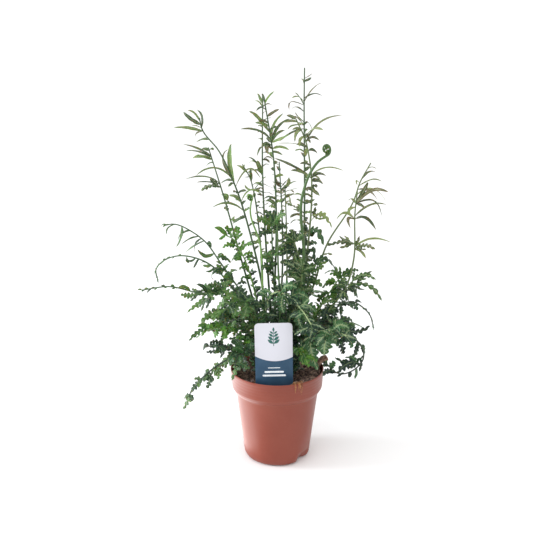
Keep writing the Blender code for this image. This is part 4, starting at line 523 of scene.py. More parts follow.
def smooth(points: Sequence[Vector], step: float) -> list[Vector]:
    """A curve through points.

    Args:
        points: The points that the curve meets.
        step: About how far apart the curve's own points lie.

    Returns:
        The curve's points.
    """
    spans = [(b - a).length for a, b in runs(points)]
    slopes = [(points[1] - points[0]) / spans[0]]
    for i in range(1, len(points) - 1):
        before = (points[i] - points[i - 1]) / spans[i - 1]
        after = (points[i + 1] - points[i]) / spans[i]
        slopes.append((before * spans[i] + after * spans[i - 1]) / (spans[i - 1] + spans[i]))
    slopes.append((points[-1] - points[-2]) / spans[-1])
    curve = [points[0].copy()]
    for i, span in enumerate(spans):
        parts = max(1, round(span / step))
        for part in range(1, parts + 1):
            t = part / parts
            start = points[i] * (2 * t**3 - 3 * t**2 + 1) + slopes[i] * span * (t**3 - 2 * t**2 + t)
            end = points[i + 1] * (3 * t**2 - 2 * t**3) + slopes[i + 1] * span * (t**3 - t**2)
            curve.append(start + end)
    return curve


def thin_out(points: Sequence[Vector], tolerance: float) -> list[Vector]:
    """The points that straight runs need to stay near a curve.

    Args:
        points: The curve's points.
        tolerance: How far the runs may leave the curve.

    Returns:
        The points that are kept.
    """
    if len(points) < 3:
        return list(points)
    chord = points[-1] - points[0]
    worst, index = 0.0, 0
    for i in range(1, len(points) - 1):
        away = points[i] - points[0]
        share = max(0.0, min(1.0, away.dot(chord) / chord.length_squared))
        distance = (away - chord * share).length
        if distance > worst:
            worst, index = distance, i
    if worst <= tolerance:
        return [points[0], points[-1]]
    return thin_out(points[:index + 1], tolerance)[:-1] + thin_out(points[index:], tolerance)


def point_along(points: Sequence[Vector], distance: float) -> Vector:
    """The point at a distance along a chain of points.

    Args:
        points: The chain.
        distance: The distance from its start.

    Returns:
        The point.
    """
    for first, second in runs(points):
        length = (second - first).length
        if distance <= length:
            return first.lerp(second, distance / length)
        distance -= length
    return points[-1].copy()


def facing(point: Vector, front_share: float) -> Vector:
    """The way that a leaflet's upper face looks: up, outwards and to the front.

    Args:
        point: The leaflet's middle.
        front_share: How much it turns to the front.

    Returns:
        The direction.
    """
    outward = Vector((point.x, point.y, 0.0))
    outward = outward.normalized() if outward.length > 1.0 else Vector((0.0, -1.0, 0.0))
    return (UP * 0.75 + outward * 0.4 + Vector((0.0, -front_share, 0.0))).normalized()


class Plan:
    """The plan of the plant: where each stem stands and bends, and where its leaflets lie."""

    def __init__(self) -> None:
        """Plan every frond, in the CAD's own order."""
        self.fronds = [Frond("fertile_" + name, seen_stem(stem, lean), TALL_FOOT_RADIUS, rows=rows_of(rows))
                       for name, (lean, stem, rows) in TALL_FRONDS.items()]
        self.fronds += [Frond(name, seen_stem(stem, lean), thick, thick * COIL_START_SHARE,
                              crook=(crook, radius, thick))
                        for name, (lean, stem, crook, radius, thick) in CROZIERS.items()]
        self.fronds += [Frond("sterile_" + name, seen_stem(stem, lean), LOW_FOOT_RADIUS, rows=rows_of(rows))
                        for name, (lean, stem, rows) in LOW_FRONDS.items()]
        draw = Random(SEED)
        self.fronds += [self.rear_frond(number, draw) for number in range(REAR_FRONDS)]
        self.stand_stems()
        self.push_apart()
        for frond in self.fronds:
            if frond.name.startswith("sterile_rear"):
                self.rear_leaflets(frond, draw)
            else:
                frond.leaflets = [self.seen_leaflet(frond, row) for row in frond.rows]

    def rear_frond(self, number: int, draw: Random) -> Frond:
        """A low frond that arches out behind or beside the crown.

        Args:
            number: Its number, from 0.
            draw: The random draw.

        Returns:
            The frond, with the way it grows in place of its rows.
        """
        bearing = math.radians(REAR_FIRST + REAR_STEP * number + draw.uniform(-4.0, 4.0))
        reach = draw.uniform(*REAR_REACH) * (1.0 if number % 2 else REAR_SHORT)
        top = draw.uniform(*REAR_TOP) + (0.0 if number % 2 else REAR_HIGH)
        out = heading(bearing)
        points = [out * reach * share + UP * (top - drop) for share, drop in REAR_ARCH]
        points[0].z = FOOT_TOP + (top - FOOT_TOP) * REAR_FIRST_RISE
        return Frond(f"sterile_rear_{number + 1:02d}", points, LOW_FOOT_RADIUS, rows=out)

    def stand_stems(self) -> None:
        """Give each stem a foot in the soil, on the side that the frond leans to."""
        rows = range(-FOOT_ROWS, FOOT_ROWS + 1)
        free = [Vector(((column + 0.5 * (row % 2)) * FOOT_SPACING, row * FOOT_SPACING * math.sqrt(3.0) / 2.0,
                        0.0)) for row in rows for column in rows]
        for frond in self.fronds:
            lean = sum(frond.points, Vector()) / len(frond.points)
            wish = Vector((lean.x, lean.y, 0.0)) * FOOT_PULL
            foot = min(free, key=lambda spot: (spot - wish).length)
            free.remove(foot)
            bottom = Vector((foot.x, foot.y, FOOT_BOTTOM))
            in_soil = max(1, round((FOOT_TOP - FOOT_BOTTOM) / STEM_STEP))
            curve = smooth([bottom, Vector((foot.x, foot.y, FOOT_TOP))] + frond.points, STEM_STEP)
            frond.points = [bottom] + thin_out(curve[in_soil:], STEM_TOLERANCE)

    def stem_samples(self) -> list[tuple[Vector, int, int, float, float]]:
        """Points a few millimetres apart on every stem above the soil.

        Returns:
            For each point: the point, the frond's number, the run, the share of the run, the radius.
        """
        samples = []
        for index, frond in enumerate(self.fronds):
            radii = frond.radii()
            for run in range(1, len(frond.points) - 1):
                first, second = frond.points[run], frond.points[run + 1]
                parts = steps_in((second - first).length, SAMPLE_STEP)
                for part in range(parts):
                    share = (part + 0.5) / parts
                    radius = radii[run] + (radii[run + 1] - radii[run]) * share
                    samples.append((first.lerp(second, share), index, run, share, radius))
        return samples

    def push_apart(self) -> None:
        """Move stems that touch away from each other, mostly in depth."""
        for _ in range(PUSH_ROUNDS):
            samples = self.stem_samples()
            tree = KDTree(len(samples))
            for number, sample in enumerate(samples):
                tree.insert(sample[0], number)
            tree.balance()
            shifts = [[Vector() for _ in frond.points] for frond in self.fronds]
            touching = False
            for spot, index, run, share, radius in samples:
                for other_spot, number, distance in tree.find_range(spot, PUSH_REACH):
                    other = samples[number]
                    lack = radius + other[4] + STEM_CLEARANCE - distance
                    if other[1] == index or lack <= 0.0:
                        continue
                    touching = True
                    away = spot - other_spot
                    side = 1.0 if (away.y, index) > (0.0, other[1]) else -1.0
                    push = Vector((away.x * 0.2, side, away.z * 0.1)).normalized() * lack * PUSH_SHARE
                    for point, weight in ((run, 1.0 - share), (run + 1, share)):
                        held = shifts[index][point]
                        shifts[index][point] = held if held.length > push.length * weight else push * weight
            for frond, moves in zip(self.fronds, shifts):
                frond.points[2:] = [point + move for point, move in zip(frond.points[2:], moves[2:])]
            if not touching:
                break

    def seen_leaflet(self, frond: Frond, row: Sequence[float]) -> Leaflet:
        """A leaflet that is given by columns and rows, with its root on the stem.

        Args:
            frond: The frond that carries it.
            row: Its row of the table.

        Returns:
            The leaflet.
        """
        spots = []
        for first, second in runs(frond.points[1:]):
            parts = steps_in((second - first).length, ROOT_SAMPLE_STEP)
            spots += [first.lerp(second, part / parts) for part in range(parts + 1)]
        root = min(spots, key=lambda spot: math.dist(picture(spot), row[:2]))
        swing = row[6] * SWING_SCALE
        middle = place(row[2], row[3], root.y + swing * 0.5)
        tip = place(row[4], row[5], root.y + swing)
        return Leaflet(root, middle, tip, row[7], len(row) > 8, facing(middle, 0.5))

    def rear_leaflets(self, frond: Frond, draw: Random) -> None:
        """Add leaflets in pairs along the outer half of a rear frond, and one at its end.

        Args:
            frond: The frond.
            draw: The random draw.
        """
        out, total = frond.rows, frond.lengths()[-1]
        across = Vector((-out.y, out.x, 0.0))
        for share, spread, size in REAR_PAIRS:
            for side in (-1.0, 1.0):
                root = point_along(frond.points, total * (share + draw.uniform(-0.02, 0.02)))
                angle = spread + draw.uniform(-0.14, 0.14)
                way = out * math.cos(angle) + across * side * math.sin(angle)
                length = draw.uniform(*REAR_LEAFLET) * size
                frond.leaflets.append(self.rear_leaflet(root, way * length, draw))
        end = point_along(frond.points, total * REAR_END)
        frond.leaflets.append(self.rear_leaflet(end, out * REAR_LEAFLET[1], draw))

    def rear_leaflet(self, root: Vector, span: Vector, draw: Random) -> Leaflet:
        """One leaflet of a rear frond, arched up and then down to its tip.

        Args:
            root: Where the leaflet leaves the stem.
            span: How far it reaches from there.
            draw: The random draw.

        Returns:
            The leaflet.
        """
        rise, droop = draw.uniform(1.0, 4.0), draw.uniform(3.0, 11.0)
        middle = root + span * 0.5 + UP * rise
        width = REAR_WIDTH * draw.uniform(0.85, 1.1)
        return Leaflet(root, middle, root + span - UP * droop, width, True, facing(middle, 0.0))

    def grown(self, frond: Frond) -> list[Leaflet]:
        """The leaflets that a frond's CAD node holds, each as it swings there.

        Args:
            frond: The frond.

        Returns:
            The leaflets.
        """
        mesh = frame["nodes"][frond.name].data
        tree = KDTree(len(mesh.vertices))
        for vertex in mesh.vertices:
            tree.insert(vertex.co / MM, vertex.index)
        tree.balance()
        swung = [min((leaflet.swung(sway) for sway in SWAYS), key=lambda one: tree.find(one.tip)[2])
                 for leaflet in frond.leaflets]
        return [leaflet for leaflet in swung if tree.find(leaflet.tip)[2] < TIP_MATCH]

    def coil(self, frond: Frond) -> list[Vector]:
        """The coil at the end of a young frond, from its outside inwards.

        Args:
            frond: The young frond.

        Returns:
            The coil's points.
        """
        (column, row), radius, _ = frond.crook
        last = frond.points[-1]
        middle = place(column, row, last.y)
        first_angle = math.atan2(last.z - middle.z, last.x - middle.x)
        points = []
        for step in range(1, COIL_STEPS + 1):
            turn = step / COIL_STEPS
            angle = first_angle + COIL_TURN * turn
            reach = radius * (1.0 - COIL_CLOSING * turn)
            side = Vector((math.cos(angle) * COIL_OVAL[0], 0.0, math.sin(angle) * COIL_OVAL[1]))
            points.append(middle + side * reach + Vector((0.0, COIL_RISE * turn, 0.0)))
        return points


def linear(red: int, green: int, blue: int) -> Colour:
    """A screen colour, with parts from 0 to 255, as the shader wants it."""
    shares = [part / 255.0 for part in (red, green, blue)]
    return tuple(s / 12.92 if s <= 0.04045 else ((s + 0.055) / 1.055)**2.4 for s in shares)


class Dye:
    """One material's node tree, with short calls that add its nodes and join them."""

    def __init__(self, name: str, roughness: float, specular: float) -> None:
        """Start a material.

        Args:
            name: The material's name.
            roughness: How rough it is where nothing is linked.
            specular: Its specular level.
        """
        self.material = bpy.data.materials.new(name)
        self.material.use_nodes = True
        self.nodes = self.material.node_tree.nodes
        self.shader = self.nodes["Principled BSDF"]
        self.shade("Roughness", roughness)
        self.shade("Specular IOR Level", specular)

    def feed(self, socket: Socket, value: Value) -> None:
        """Link an input, or set it.

        Args:
            socket: The input.
            value: An output socket, a number, a vector or a colour.
        """
        if isinstance(value, Socket):
            self.material.node_tree.links.new(value, socket)
        else:
            socket.default_value = (*value, 1.0) if socket.type == "RGBA" else value

    def shade(self, name: str, value: Value) -> None:
        """Feed an input of the shader."""
        self.feed(self.shader.inputs[name], value)

    def node(self, kind: str, inputs: dict[str | int, Value], **settings: object) -> bpy.types.Node:
        """Add a node.

        Args:
            kind: The end of its type's name.
            inputs: What its inputs are fed with.
            settings: Its settings.

        Returns:
            The node.
        """
        node = self.nodes.new("ShaderNode" + kind)
        for name, value in settings.items():
            setattr(node, name, value)
        for name, value in inputs.items():
            self.feed(node.inputs[name], value)
        return node

    def place_on(self, scale: Colour = (1.0, 1.0, 1.0)) -> Socket:
        """Object coordinates, stretched along each axis."""
        source = self.node("TexCoord", {}).outputs["Object"]
        return self.node("Mapping", {"Vector": source, "Scale": scale}).outputs["Vector"]

    def noise(self, where: Socket, scale: float, detail: float, distortion: float = 0.0) -> Socket:
        """Cloudy noise: its coordinates, how fine it is, its layers and how much it is stirred."""
        inputs = {"Vector": where, "Scale": scale, "Detail": detail, "Distortion": distortion}
        return self.node("TexNoise", inputs).outputs["Fac"]

    def split(self, vector: Socket) -> Sequence[Socket]:
        """The three parts of a vector."""
        return self.node("SeparateXYZ", {0: vector}).outputs

    def surface(self) -> Sequence[Socket]:
        """The place across and along a leaflet or a stem, from 0 to 1."""
        return self.split(self.node("TexCoord", {}).outputs["UV"])

    def sum(self, operation: str, *values: Value) -> Socket:
        """A sum worked out for each point, given by the operation's name and its values."""
        return self.node("Math", dict(enumerate(values)), operation=operation).outputs[0]

    def times(self, first: Value, second: Value) -> Socket:
        """A product."""
        return self.sum("MULTIPLY", first, second)

    def plus(self, first: Value, second: Value) -> Socket:
        """A total."""
        return self.sum("ADD", first, second)

    def minus(self, first: Value, second: Value) -> Socket:
        """A difference."""
        return self.sum("SUBTRACT", first, second)

    def fade(self, value: Socket, low: float, high: float) -> Socket:
        """A soft step from 0 where a value is low to 1 where it is high."""
        inputs = {"Value": value, "From Min": min(low, high), "From Max": max(low, high),
                  "To Min": float(low > high), "To Max": float(low <= high)}
        return self.node("MapRange", inputs, interpolation_type="SMOOTHSTEP", clamp=True).outputs["Result"]

    def blend(self, share: Value, first: Value, second: Value) -> Socket:
        """A colour between two colours, with a share of the second."""
        inputs = {"Factor": share, 6: first, 7: second}
        return self.node("Mix", inputs, data_type="RGBA").outputs[2]

    def roughness(self, value: Socket, low: float, high: float) -> None:
        """Vary how rough the surface is, as a value goes from 0 to 1."""
        node = self.node("MapRange", {"Value": value, "To Min": low, "To Max": high})
        self.shade("Roughness", node.outputs["Result"])

    def finished(self, colour: Value, height: Socket | None = None, depth: float = 0.0) -> Material:
        """The material with its colour, and with a fine relief if it has one.

        Args:
            colour: The colour.
            height: The relief's height, about from 0 to 1.
            depth: The relief's depth in metres.

        Returns:
            The material.
        """
        self.shade("Base Color", colour)
        if height is not None:
            bump = self.node("Bump", {"Height": height, "Distance": depth, "Strength": 1.0})
            self.shade("Normal", bump.outputs["Normal"])
        return self.material


@dataclass(frozen=True)
class MouldedPlastic:
    """Satin clay-coloured plastic, with faint mould lines round the collar and dust in its pores."""

    clay: Colour = linear(133, 64, 48)
    shade: Colour = linear(128, 58, 42)
    dust: Colour = linear(148, 80, 62)
    line_spacing: float = 0.0042

    def material(self) -> Material:
        """The finish as a material."""
        dye = Dye("moulded_clay_plastic", 0.42, 0.38)
        where = dye.place_on()
        height = dye.split(where)[2]
        clouds = dye.noise(where, 22.0, 5.0)
        grain = dye.noise(dye.place_on((1.0, 1.0, 0.35)), 900.0, 2.0)
        base = dye.blend(dye.fade(clouds, 0.32, 0.7), self.shade, self.clay)
        pores = dye.times(dye.fade(grain, 0.62, 0.75), 0.18)
        dye.roughness(clouds, 0.34, 0.42)
        ring = dye.sum("SINE", dye.times(height, math.tau / self.line_spacing))
        collar = dye.times(dye.fade(height, 0.098, 0.1), dye.fade(height, 0.121, 0.117))
        lines = dye.times(dye.times(ring, collar), 0.35)
        height = dye.plus(lines, dye.times(grain, 0.5))
        return dye.finished(dye.blend(pores, base, self.dust), height, 0.00012)


@dataclass(frozen=True)
class Peat:
    """Dark crumbly peat, with paler dry crumbs and flecks of fibre."""

    name: str = "dark_peat"
    dark: Colour = linear(78, 64, 60)
    dry: Colour = linear(176, 146, 130)
    fleck: Colour = linear(184, 140, 100)

    def material(self) -> Material:
        """The finish as a material."""
        dye = Dye(self.name, 0.95, 0.2)
        where = dye.place_on()
        crumbs = dye.noise(where, 240.0, 6.0)
        cells = dye.node("TexVoronoi", {"Vector": where, "Scale": 520.0}).outputs["Distance"]
        base = dye.blend(dye.fade(crumbs, 0.38, 0.72), self.dark, self.dry)
        threads = dye.noise(dye.place_on((1.0, 3.5, 1.0)), 700.0, 2.0, 1.5)
        colour = dye.blend(dye.fade(threads, 0.66, 0.74), base, self.fleck)
        return dye.finished(colour, dye.plus(crumbs, dye.times(cells, 0.6)), 0.0008)


@dataclass(frozen=True)
class Bark:
    """Weathered brown bark with long cracks."""

    pale: Colour = linear(176, 146, 128)
    dark: Colour = linear(112, 84, 70)

    def material(self) -> Material:
        """The finish as a material."""
        dye = Dye("weathered_bark", 0.88, 0.25)
        strips = dye.noise(dye.place_on((1.0, 0.25, 1.0)), 420.0, 5.0, 0.8)
        grain = dye.times(dye.plus(strips, dye.noise(dye.place_on(), 160.0, 3.0)), 0.5)
        return dye.finished(dye.blend(dye.fade(grain, 0.36, 0.64), self.dark, self.pale), strips, 0.0007)


@dataclass(frozen=True)
class RootFibre:
    """Orange-brown root fibre, with painted shade darkening the hollows of its relief."""

    pale: Colour = linear(190, 138, 90)
    dark: Colour = linear(120, 78, 50)

    def material(self) -> Material:
        """The finish as a material."""
        dye = Dye("root_fibre", 0.82, 0.3)
        spots = dye.noise(dye.place_on(), 380.0, 4.0)
        # The dark colour follows the hollows of the relief: painted shade
        return dye.finished(dye.blend(dye.fade(spots, 0.35, 0.65), self.dark, self.pale), spots, 0.0003)


@dataclass(frozen=True)
class PrintedCard:
    """Glossy white label card with a slate lower panel whose upper edge sags in the middle."""

    card: Colour = linear(212, 212, 220)
    grey: Colour = linear(196, 198, 208)
    slate: Colour = linear(44, 72, 96)
    faded: Colour = linear(58, 86, 110)
    middle: float = -0.0037
    edge: float = 0.1484
    sag: float = 11.5

    def material(self) -> Material:
        """The finish as a material."""
        dye = Dye("printed_card", 0.3, 0.2)
        where = dye.place_on()
        along, _, height = dye.split(where)
        aside = dye.sum("POWER", dye.sum("ABSOLUTE", dye.minus(along, self.middle)), 2.0)
        border = dye.plus(dye.times(aside, self.sag), self.edge)
        above = dye.fade(dye.minus(height, border), -0.00025, 0.00025)
        paper = dye.noise(where, 60.0, 3.0)
        white = dye.blend(dye.times(paper, 0.12), self.card, self.grey)
        ink = dye.blend(dye.fade(paper, 0.3, 0.8), self.slate, self.faded)
        dye.roughness(paper, 0.24, 0.38)
        return dye.finished(dye.blend(above, ink, white), dye.noise(where, 1400.0, 2.0), 0.00003)


@dataclass(frozen=True)
class Ink:
    """Printing ink, a little mottled."""

    name: str
    ink: Colour

    def material(self) -> Material:
        """The finish as a material."""
        dye = Dye(self.name, 0.36, 0.45)
        mottle = dye.noise(dye.place_on(), 700.0, 3.0)
        pale = tuple(min(1.0, part * 1.25 + 0.01) for part in self.ink)
        return dye.finished(dye.blend(dye.fade(mottle, 0.4, 0.8), self.ink, pale))


@dataclass(frozen=True)
class Blade:
    """A leaflet's face: green margins, a silver band along the rib, side veins and a soft gloss."""

    green: Colour
    deep: Colour
    silver: Colour
    band: float = 0.12
    strength: float = 0.3
    rib_share: float = 0.3
    worn: Colour | None = None
    rib: Colour = linear(164, 178, 120)

    def material(self, name: str) -> Material:
        """The finish as a material with a name."""
        dye = Dye("leaflet_" + name, 0.4, 0.32)
        across_edge, along, _ = dye.surface()
        across = dye.times(dye.sum("ABSOLUTE", dye.minus(across_edge, 0.5)), 2.0)
        where = dye.place_on()
        clouds = dye.noise(where, 130.0, 4.0)
        tone = dye.node("Attribute", {}, attribute_name="tone").outputs["Fac"]
        tissue = dye.blend(dye.fade(dye.plus(clouds, tone), 0.6, 1.4), self.deep, self.green)
        if self.worn:
            tissue = dye.blend(dye.times(dye.fade(tone, 0.86, 0.88), 0.75), tissue, self.worn)
        slant = dye.minus(dye.times(along, 9.0), dye.times(across, 1.5))
        vein = dye.sum("SINE", dye.times(slant, math.tau))
        ragged = dye.plus(across, dye.times(dye.minus(clouds, 0.5), 0.9))
        stripe = dye.fade(dye.minus(ragged, dye.times(vein, 0.2)), self.band + 0.2, self.band - 0.1)
        patch = dye.fade(dye.noise(where, 26.0, 2.0), 0.3, 0.55)
        striped = dye.blend(dye.times(dye.times(stripe, patch), self.strength), tissue, self.silver)
        rib = dye.times(dye.fade(across, 0.12, 0.03), self.rib_share)
        dye.roughness(clouds, 0.24, 0.5)
        dye.shade("Subsurface Weight", 0.1)
        dye.shade("Subsurface Scale", 0.0015)
        ridge = dye.minus(dye.times(vein, 0.5), dye.fade(across, 0.16, 0.0))
        return dye.finished(dye.blend(rib, striped, self.rib), ridge, 0.0002)


@dataclass(frozen=True)
class Stalk:
    """A stem's skin: grooved, green above and darker and browner towards its foot."""

    green: Colour
    foot: Colour
    pale_from: float | None = None
    low: float = 0.12
    high: float = 0.24

    def material(self, name: str) -> Material:
        """The finish as a material with a name."""
        dye = Dye("stalk_" + name, 0.42, 0.5)
        where = dye.place_on()
        streaks = dye.noise(dye.place_on((1.0, 1.0, 0.08)), 900.0, 3.0)
        if self.pale_from is None:
            growth = dye.fade(dye.split(where)[2], self.low, self.high)
        else:
            growth = dye.fade(dye.surface()[1], self.pale_from, self.pale_from + 0.12)
        rise = dye.plus(growth, dye.times(dye.noise(where, 60.0, 3.0), 0.4))
        base = dye.blend(dye.fade(rise, 0.2, 1.1), self.foot, self.green)
        pale = tuple(min(1.0, part * 1.7) for part in self.green)
        share = dye.times(dye.fade(streaks, 0.45, 0.7), 0.5)
        return dye.finished(dye.blend(share, base, pale), streaks, 0.0002)


@dataclass(frozen=True)
class StudioFloor:
    """Pale matt studio paper."""

    paper: Colour = (0.96, 0.96, 0.96)

    def material(self) -> Material:
        """The finish as a material."""
        dye = Dye("studio_paper", 0.9, 0.1)
        faint = tuple(part * 0.985 for part in self.paper)
        return dye.finished(dye.blend(dye.noise(dye.place_on(), 40.0, 3.0), self.paper, faint))


class Leaf(Enum):
    """The finishes of blade and stalk, and the fronds they are for. The first that names one is its own."""

    YOUNG = (Blade(linear(104, 142, 66), linear(52, 88, 36), linear(120, 160, 96), 0.1),
             Stalk(linear(62, 90, 42), linear(56, 92, 70)), ("crozier_tall", "crozier_green"))
    OLIVE = (Blade(linear(132, 150, 88), linear(56, 76, 42), linear(186, 192, 156), 0.22, 0.6,
                   worn=linear(74, 56, 48)), Stalk(linear(92, 108, 66), linear(40, 62, 38)),
             ("tall_right", "upright_right", "slanted_right", "slim_right"))
    BRIGHT = (Blade(linear(70, 122, 32), linear(26, 72, 22), linear(150, 176, 90), 0.1, 0.25),
              Stalk(linear(96, 130, 62), linear(44, 76, 44)), BRIGHT)
    VEINED = (Blade(linear(50, 92, 48), linear(16, 48, 32), linear(144, 168, 130), 0.2, 0.7, 0.6),
              Stalk(linear(150, 168, 118), linear(30, 50, 32), 0.56), ("palmate_right", "long_front"))
    STRIPED = (Blade(linear(54, 92, 38), linear(18, 50, 28), linear(150, 168, 128), 0.24, 0.6, 0.5),
               Stalk(linear(104, 122, 74), linear(40, 62, 36)),
               ("striped_right", "middle_striped", "middle_ribbed"))
    GREEN = (Blade(linear(68, 108, 42), linear(20, 54, 28), linear(140, 160, 120)),
             Stalk(linear(50, 78, 40), linear(24, 42, 28)), ("long_front_left",))
    DARK = (Blade(linear(48, 88, 44), linear(10, 38, 26), linear(104, 138, 118)),
            Stalk(linear(50, 66, 38), linear(26, 34, 24)), DARK)
    FERTILE = (Blade(linear(108, 138, 68), linear(42, 72, 36), linear(182, 190, 156), 0.18, 0.45,
                     worn=linear(70, 50, 42)), Stalk(linear(54, 78, 42), linear(24, 44, 30)), ())


def linked(name: str, data: bpy.types.ID) -> Object:
    """A new object in the scene."""
    thing = bpy.data.objects.new(name, data)
    bpy.context.scene.collection.objects.link(thing)
    return thing


class Draft:
    """A mesh in the making: closed tubes and blades, in millimetres."""

    def __init__(self) -> None:
        """Start with nothing."""
        self.vertices: list[Vector] = []
        self.tones: list[float] = []
        self.faces: list[tuple[Sequence[int], Profile, int]] = []

    def face(self, points: Sequence[int], places: Profile, slot: int) -> None:
        """Add a face: its vertices, the surface place (across, along) of each, and its material."""
        self.faces.append((points, places, slot))

    def toned(self, tone: float) -> None:
        """Give the vertices that have no tone yet one from 0, dark, to 1, light."""
        self.tones += [tone] * (len(self.vertices) - len(self.tones))

    def tube(self, points: Sequence[Vector], radii: Sequence[float], sides: int, tone: float) -> None:
        """Add a closed tube with pointed ends.

        Args:
            points: Its middle line.
            radii: Its radius at each point.
            sides: How many sides it has.
            tone: How light it is, from 0 to 1.
        """
        start, end = len(self.vertices), len(points) - 1
        normal = Vector((1.0, 0.0, 0.0))
        for i, point in enumerate(points):
            along = (points[min(end, i + 1)] - points[max(0, i - 1)]).normalized()
            normal = (normal - along * normal.dot(along)).normalized()
            other = along.cross(normal)
            for side in range(sides):
                angle = math.tau * side / sides
                turn = normal * math.cos(angle) + other * math.sin(angle)
                self.vertices.append(point + turn * radii[i])
        for ring in range(end):
            low, high = start + ring * sides, start + (ring + 1) * sides
            near, far = ring / end, (ring + 1) / end
            for side in range(sides):
                after, left, right = (side + 1) % sides, side / sides, (side + 1) / sides
                self.face((low + side, low + after, high + after, high + side),
                          ((left, near), (right, near), (right, far), (left, far)), 0)
        for first, step, share in ((start, 0, 0.0), (start + end * sides, -1, 1.0)):
            out = points[step] - points[-2 if step else 1]
            tip = len(self.vertices)
            self.vertices.append(points[step] + out.normalized() * radii[step] * 0.7)
            for side in range(sides):
                after = (side + 1) % sides
                ring = (first + side, first + after) if step else (first + after, first + side)
                self.face((*ring, tip), [(0.0, share)] * 3, 0)
        self.toned(tone)

    def blade(self, leaflet: Leaflet, style: "Cut", draw: Random, slot: int) -> None:
        """Add a closed leaflet, with its margins cut and waved.

        Args:
            leaflet: The leaflet's rib and outline.
            style: How its margins are cut.
            draw: The random draw.
            slot: The number of its material.
        """
        chord = leaflet.tip - leaflet.root
        length = chord.length
        chord.normalize()
        count = max(style.fewest, min(style.most, round(length / style.spacing))) * len(SCALLOP)
        wave = draw.uniform(0.0, math.tau)
        lag = draw.randrange(len(SCALLOP))
        fold = draw.uniform(*style.fold)
        first = len(self.vertices)
        for step in range(count):
            share = step / count
            point, along = leaflet.rib(share)
            way = (chord + along * style.follow).normalized()
            side = way.cross(leaflet.face)
            side = side.normalized() if side.length > 0.05 else Vector((1.0, 0.0, 0.0))
            over = side.cross(way).normalized()
            half = style.half_width(leaflet, share)
            row = []
            for sign in (-1.0, 1.0):
                bulge = SCALLOP[(step + (lag if sign > 0.0 else 0)) % len(SCALLOP)] * style.tooth
                reach = half * (1.0 + bulge * draw.uniform(0.8, 1.2))
                lift = math.sin(wave + share * 9.0 + sign) * style.wave + fold
                ahead = length / count * max(0.0, bulge)
                row.append(point + side * sign * reach + over * half * lift + along * ahead)
            thick = style.thick * (1.0 - 0.5 * share)
            self.vertices += [row[0], point + over * thick * 0.4, row[1], point - over * thick * 0.6]
        tip = len(self.vertices)
        self.vertices.append(leaflet.tip.copy())
        across = (0.0, 0.5, 1.0, 0.5)
        for number in range(count):
            low, high = first + number * 4, first + (number + 1) * 4
            near, far = number / count, (number + 1) / count
            for a, b in ((0, 1), (1, 2), (2, 3), (3, 0)):
                feet = ((across[a], near), (across[b], near))
                if high == tip:
                    self.face((low + a, low + b, tip), (*feet, (0.5, 1.0)), slot)
                else:
                    self.face((low + a, low + b, high + b, high + a),
                              (*feet, (across[b], far), (across[a], far)), slot)
        self.face((first + 3, first + 2, first + 1, first), [(across[k], 0.0) for k in (3, 2, 1, 0)], slot)
        self.toned(draw.uniform(0.0, 1.0))

    def made(self, name: str, materials: Sequence[Material] = ()) -> Object:
        """The finished object, in metres.

        Args:
            name: Its name.
            materials: Its materials.

        Returns:
            The object.
        """
        mesh = bpy.data.meshes.new(name)
        faces, places, slots = zip(*self.faces)
        mesh.from_pydata([vertex * MM for vertex in self.vertices], [], faces)
        for material in materials:
            mesh.materials.append(material)
        mesh.polygons.foreach_set("material_index", slots)
        layer = mesh.uv_layers.new(name="surface")
        layer.data.foreach_set("uv", [value for corners in places for spot in corners for value in spot])
        mesh.attributes.new("tone", "FLOAT", "POINT").data.foreach_set("value", self.tones)
        work = bmesh.new()
        work.from_mesh(mesh)
        bmesh.ops.recalc_face_normals(work, faces=work.faces)
        work.to_mesh(mesh)
        work.free()
        mesh.shade_smooth()
        mesh.set_sharp_from_angle(angle=math.radians(SHARP_ANGLE))
        return linked(name, mesh)


@dataclass(frozen=True)
class Cut:
    """How a leaflet's margins are cut, waved and folded."""

    spacing: float
    fewest: int
    most: int
    tooth: float
    wave: float
    fold: tuple[float, float]
    thick: float
    fullness: float
    widest: float
    blunt: float
    follow: float = 0.7

    def half_width(self, leaflet: Leaflet, share: float) -> float:
        """Half the leaflet's width without its teeth.

        Args:
            leaflet: The leaflet.
            share: The share of the way along its rib.

        Returns:
            The half width.
        """
        half = leaflet.width * 0.5 * self.fullness
        if share < self.widest:
            rise = math.sin(0.5 * math.pi * share / self.widest)
            return ROOT_WIDTH * 0.5 + (half - ROOT_WIDTH * 0.5) * rise
        return half * (1.0 - ((share - self.widest) / (1.0 - self.widest))**self.blunt)**0.7


# How a scalloped margin bulges from one notch to the next
SCALLOP = (-1.0, 0.7, 0.9)
STRAP = Cut(9.0, 2, 4, 0.07, 0.16, (-0.3, 0.3), 0.7, 1.4, 0.25, 2.8)
TOOTHED = Cut(4.6, 2, 6, 0.5, 0.3, (-0.4, 0.3), 0.9, 1.15, 0.4, 2.2)
BROAD = Cut(6.0, 3, 6, 0.26, 0.2, (-0.2, 0.12), 0.9, 1.7, 0.36, 1.7)
LOBE = Cut(4.6, 2, 3, 0.32, 0.24, (-0.35, 0.3), 0.7, 1.05, 0.4, 2.2)
SMALL = Cut(5.0, 1, 2, 0.3, 0.3, (-0.4, 0.4), 0.5, 1.0, 0.4, 2.2)


@dataclass(frozen=True)
class Filling:
    """Small leaflets set by rule along a stem, between those that the plan gives."""

    step: float
    lengths: tuple[float, float]
    width: float
    lobed: bool = False
    rows: tuple[float, float] = (0.0, 533.0)


UPPER_STRAPS = Filling(6.2, (9.0, 19.0), 2.8, False, (104.0, 206.0))
MIDDLE_LEAFLETS = Filling(9.0, (8.0, 16.0), 3.6, True, (186.0, 262.0))
LOW_LEAFLETS = Filling(2.6, (8.0, 19.0), 4.8, True, (252.0, 374.0))
FRINGE = Filling(3.4, (5.0, 9.0), 2.6)

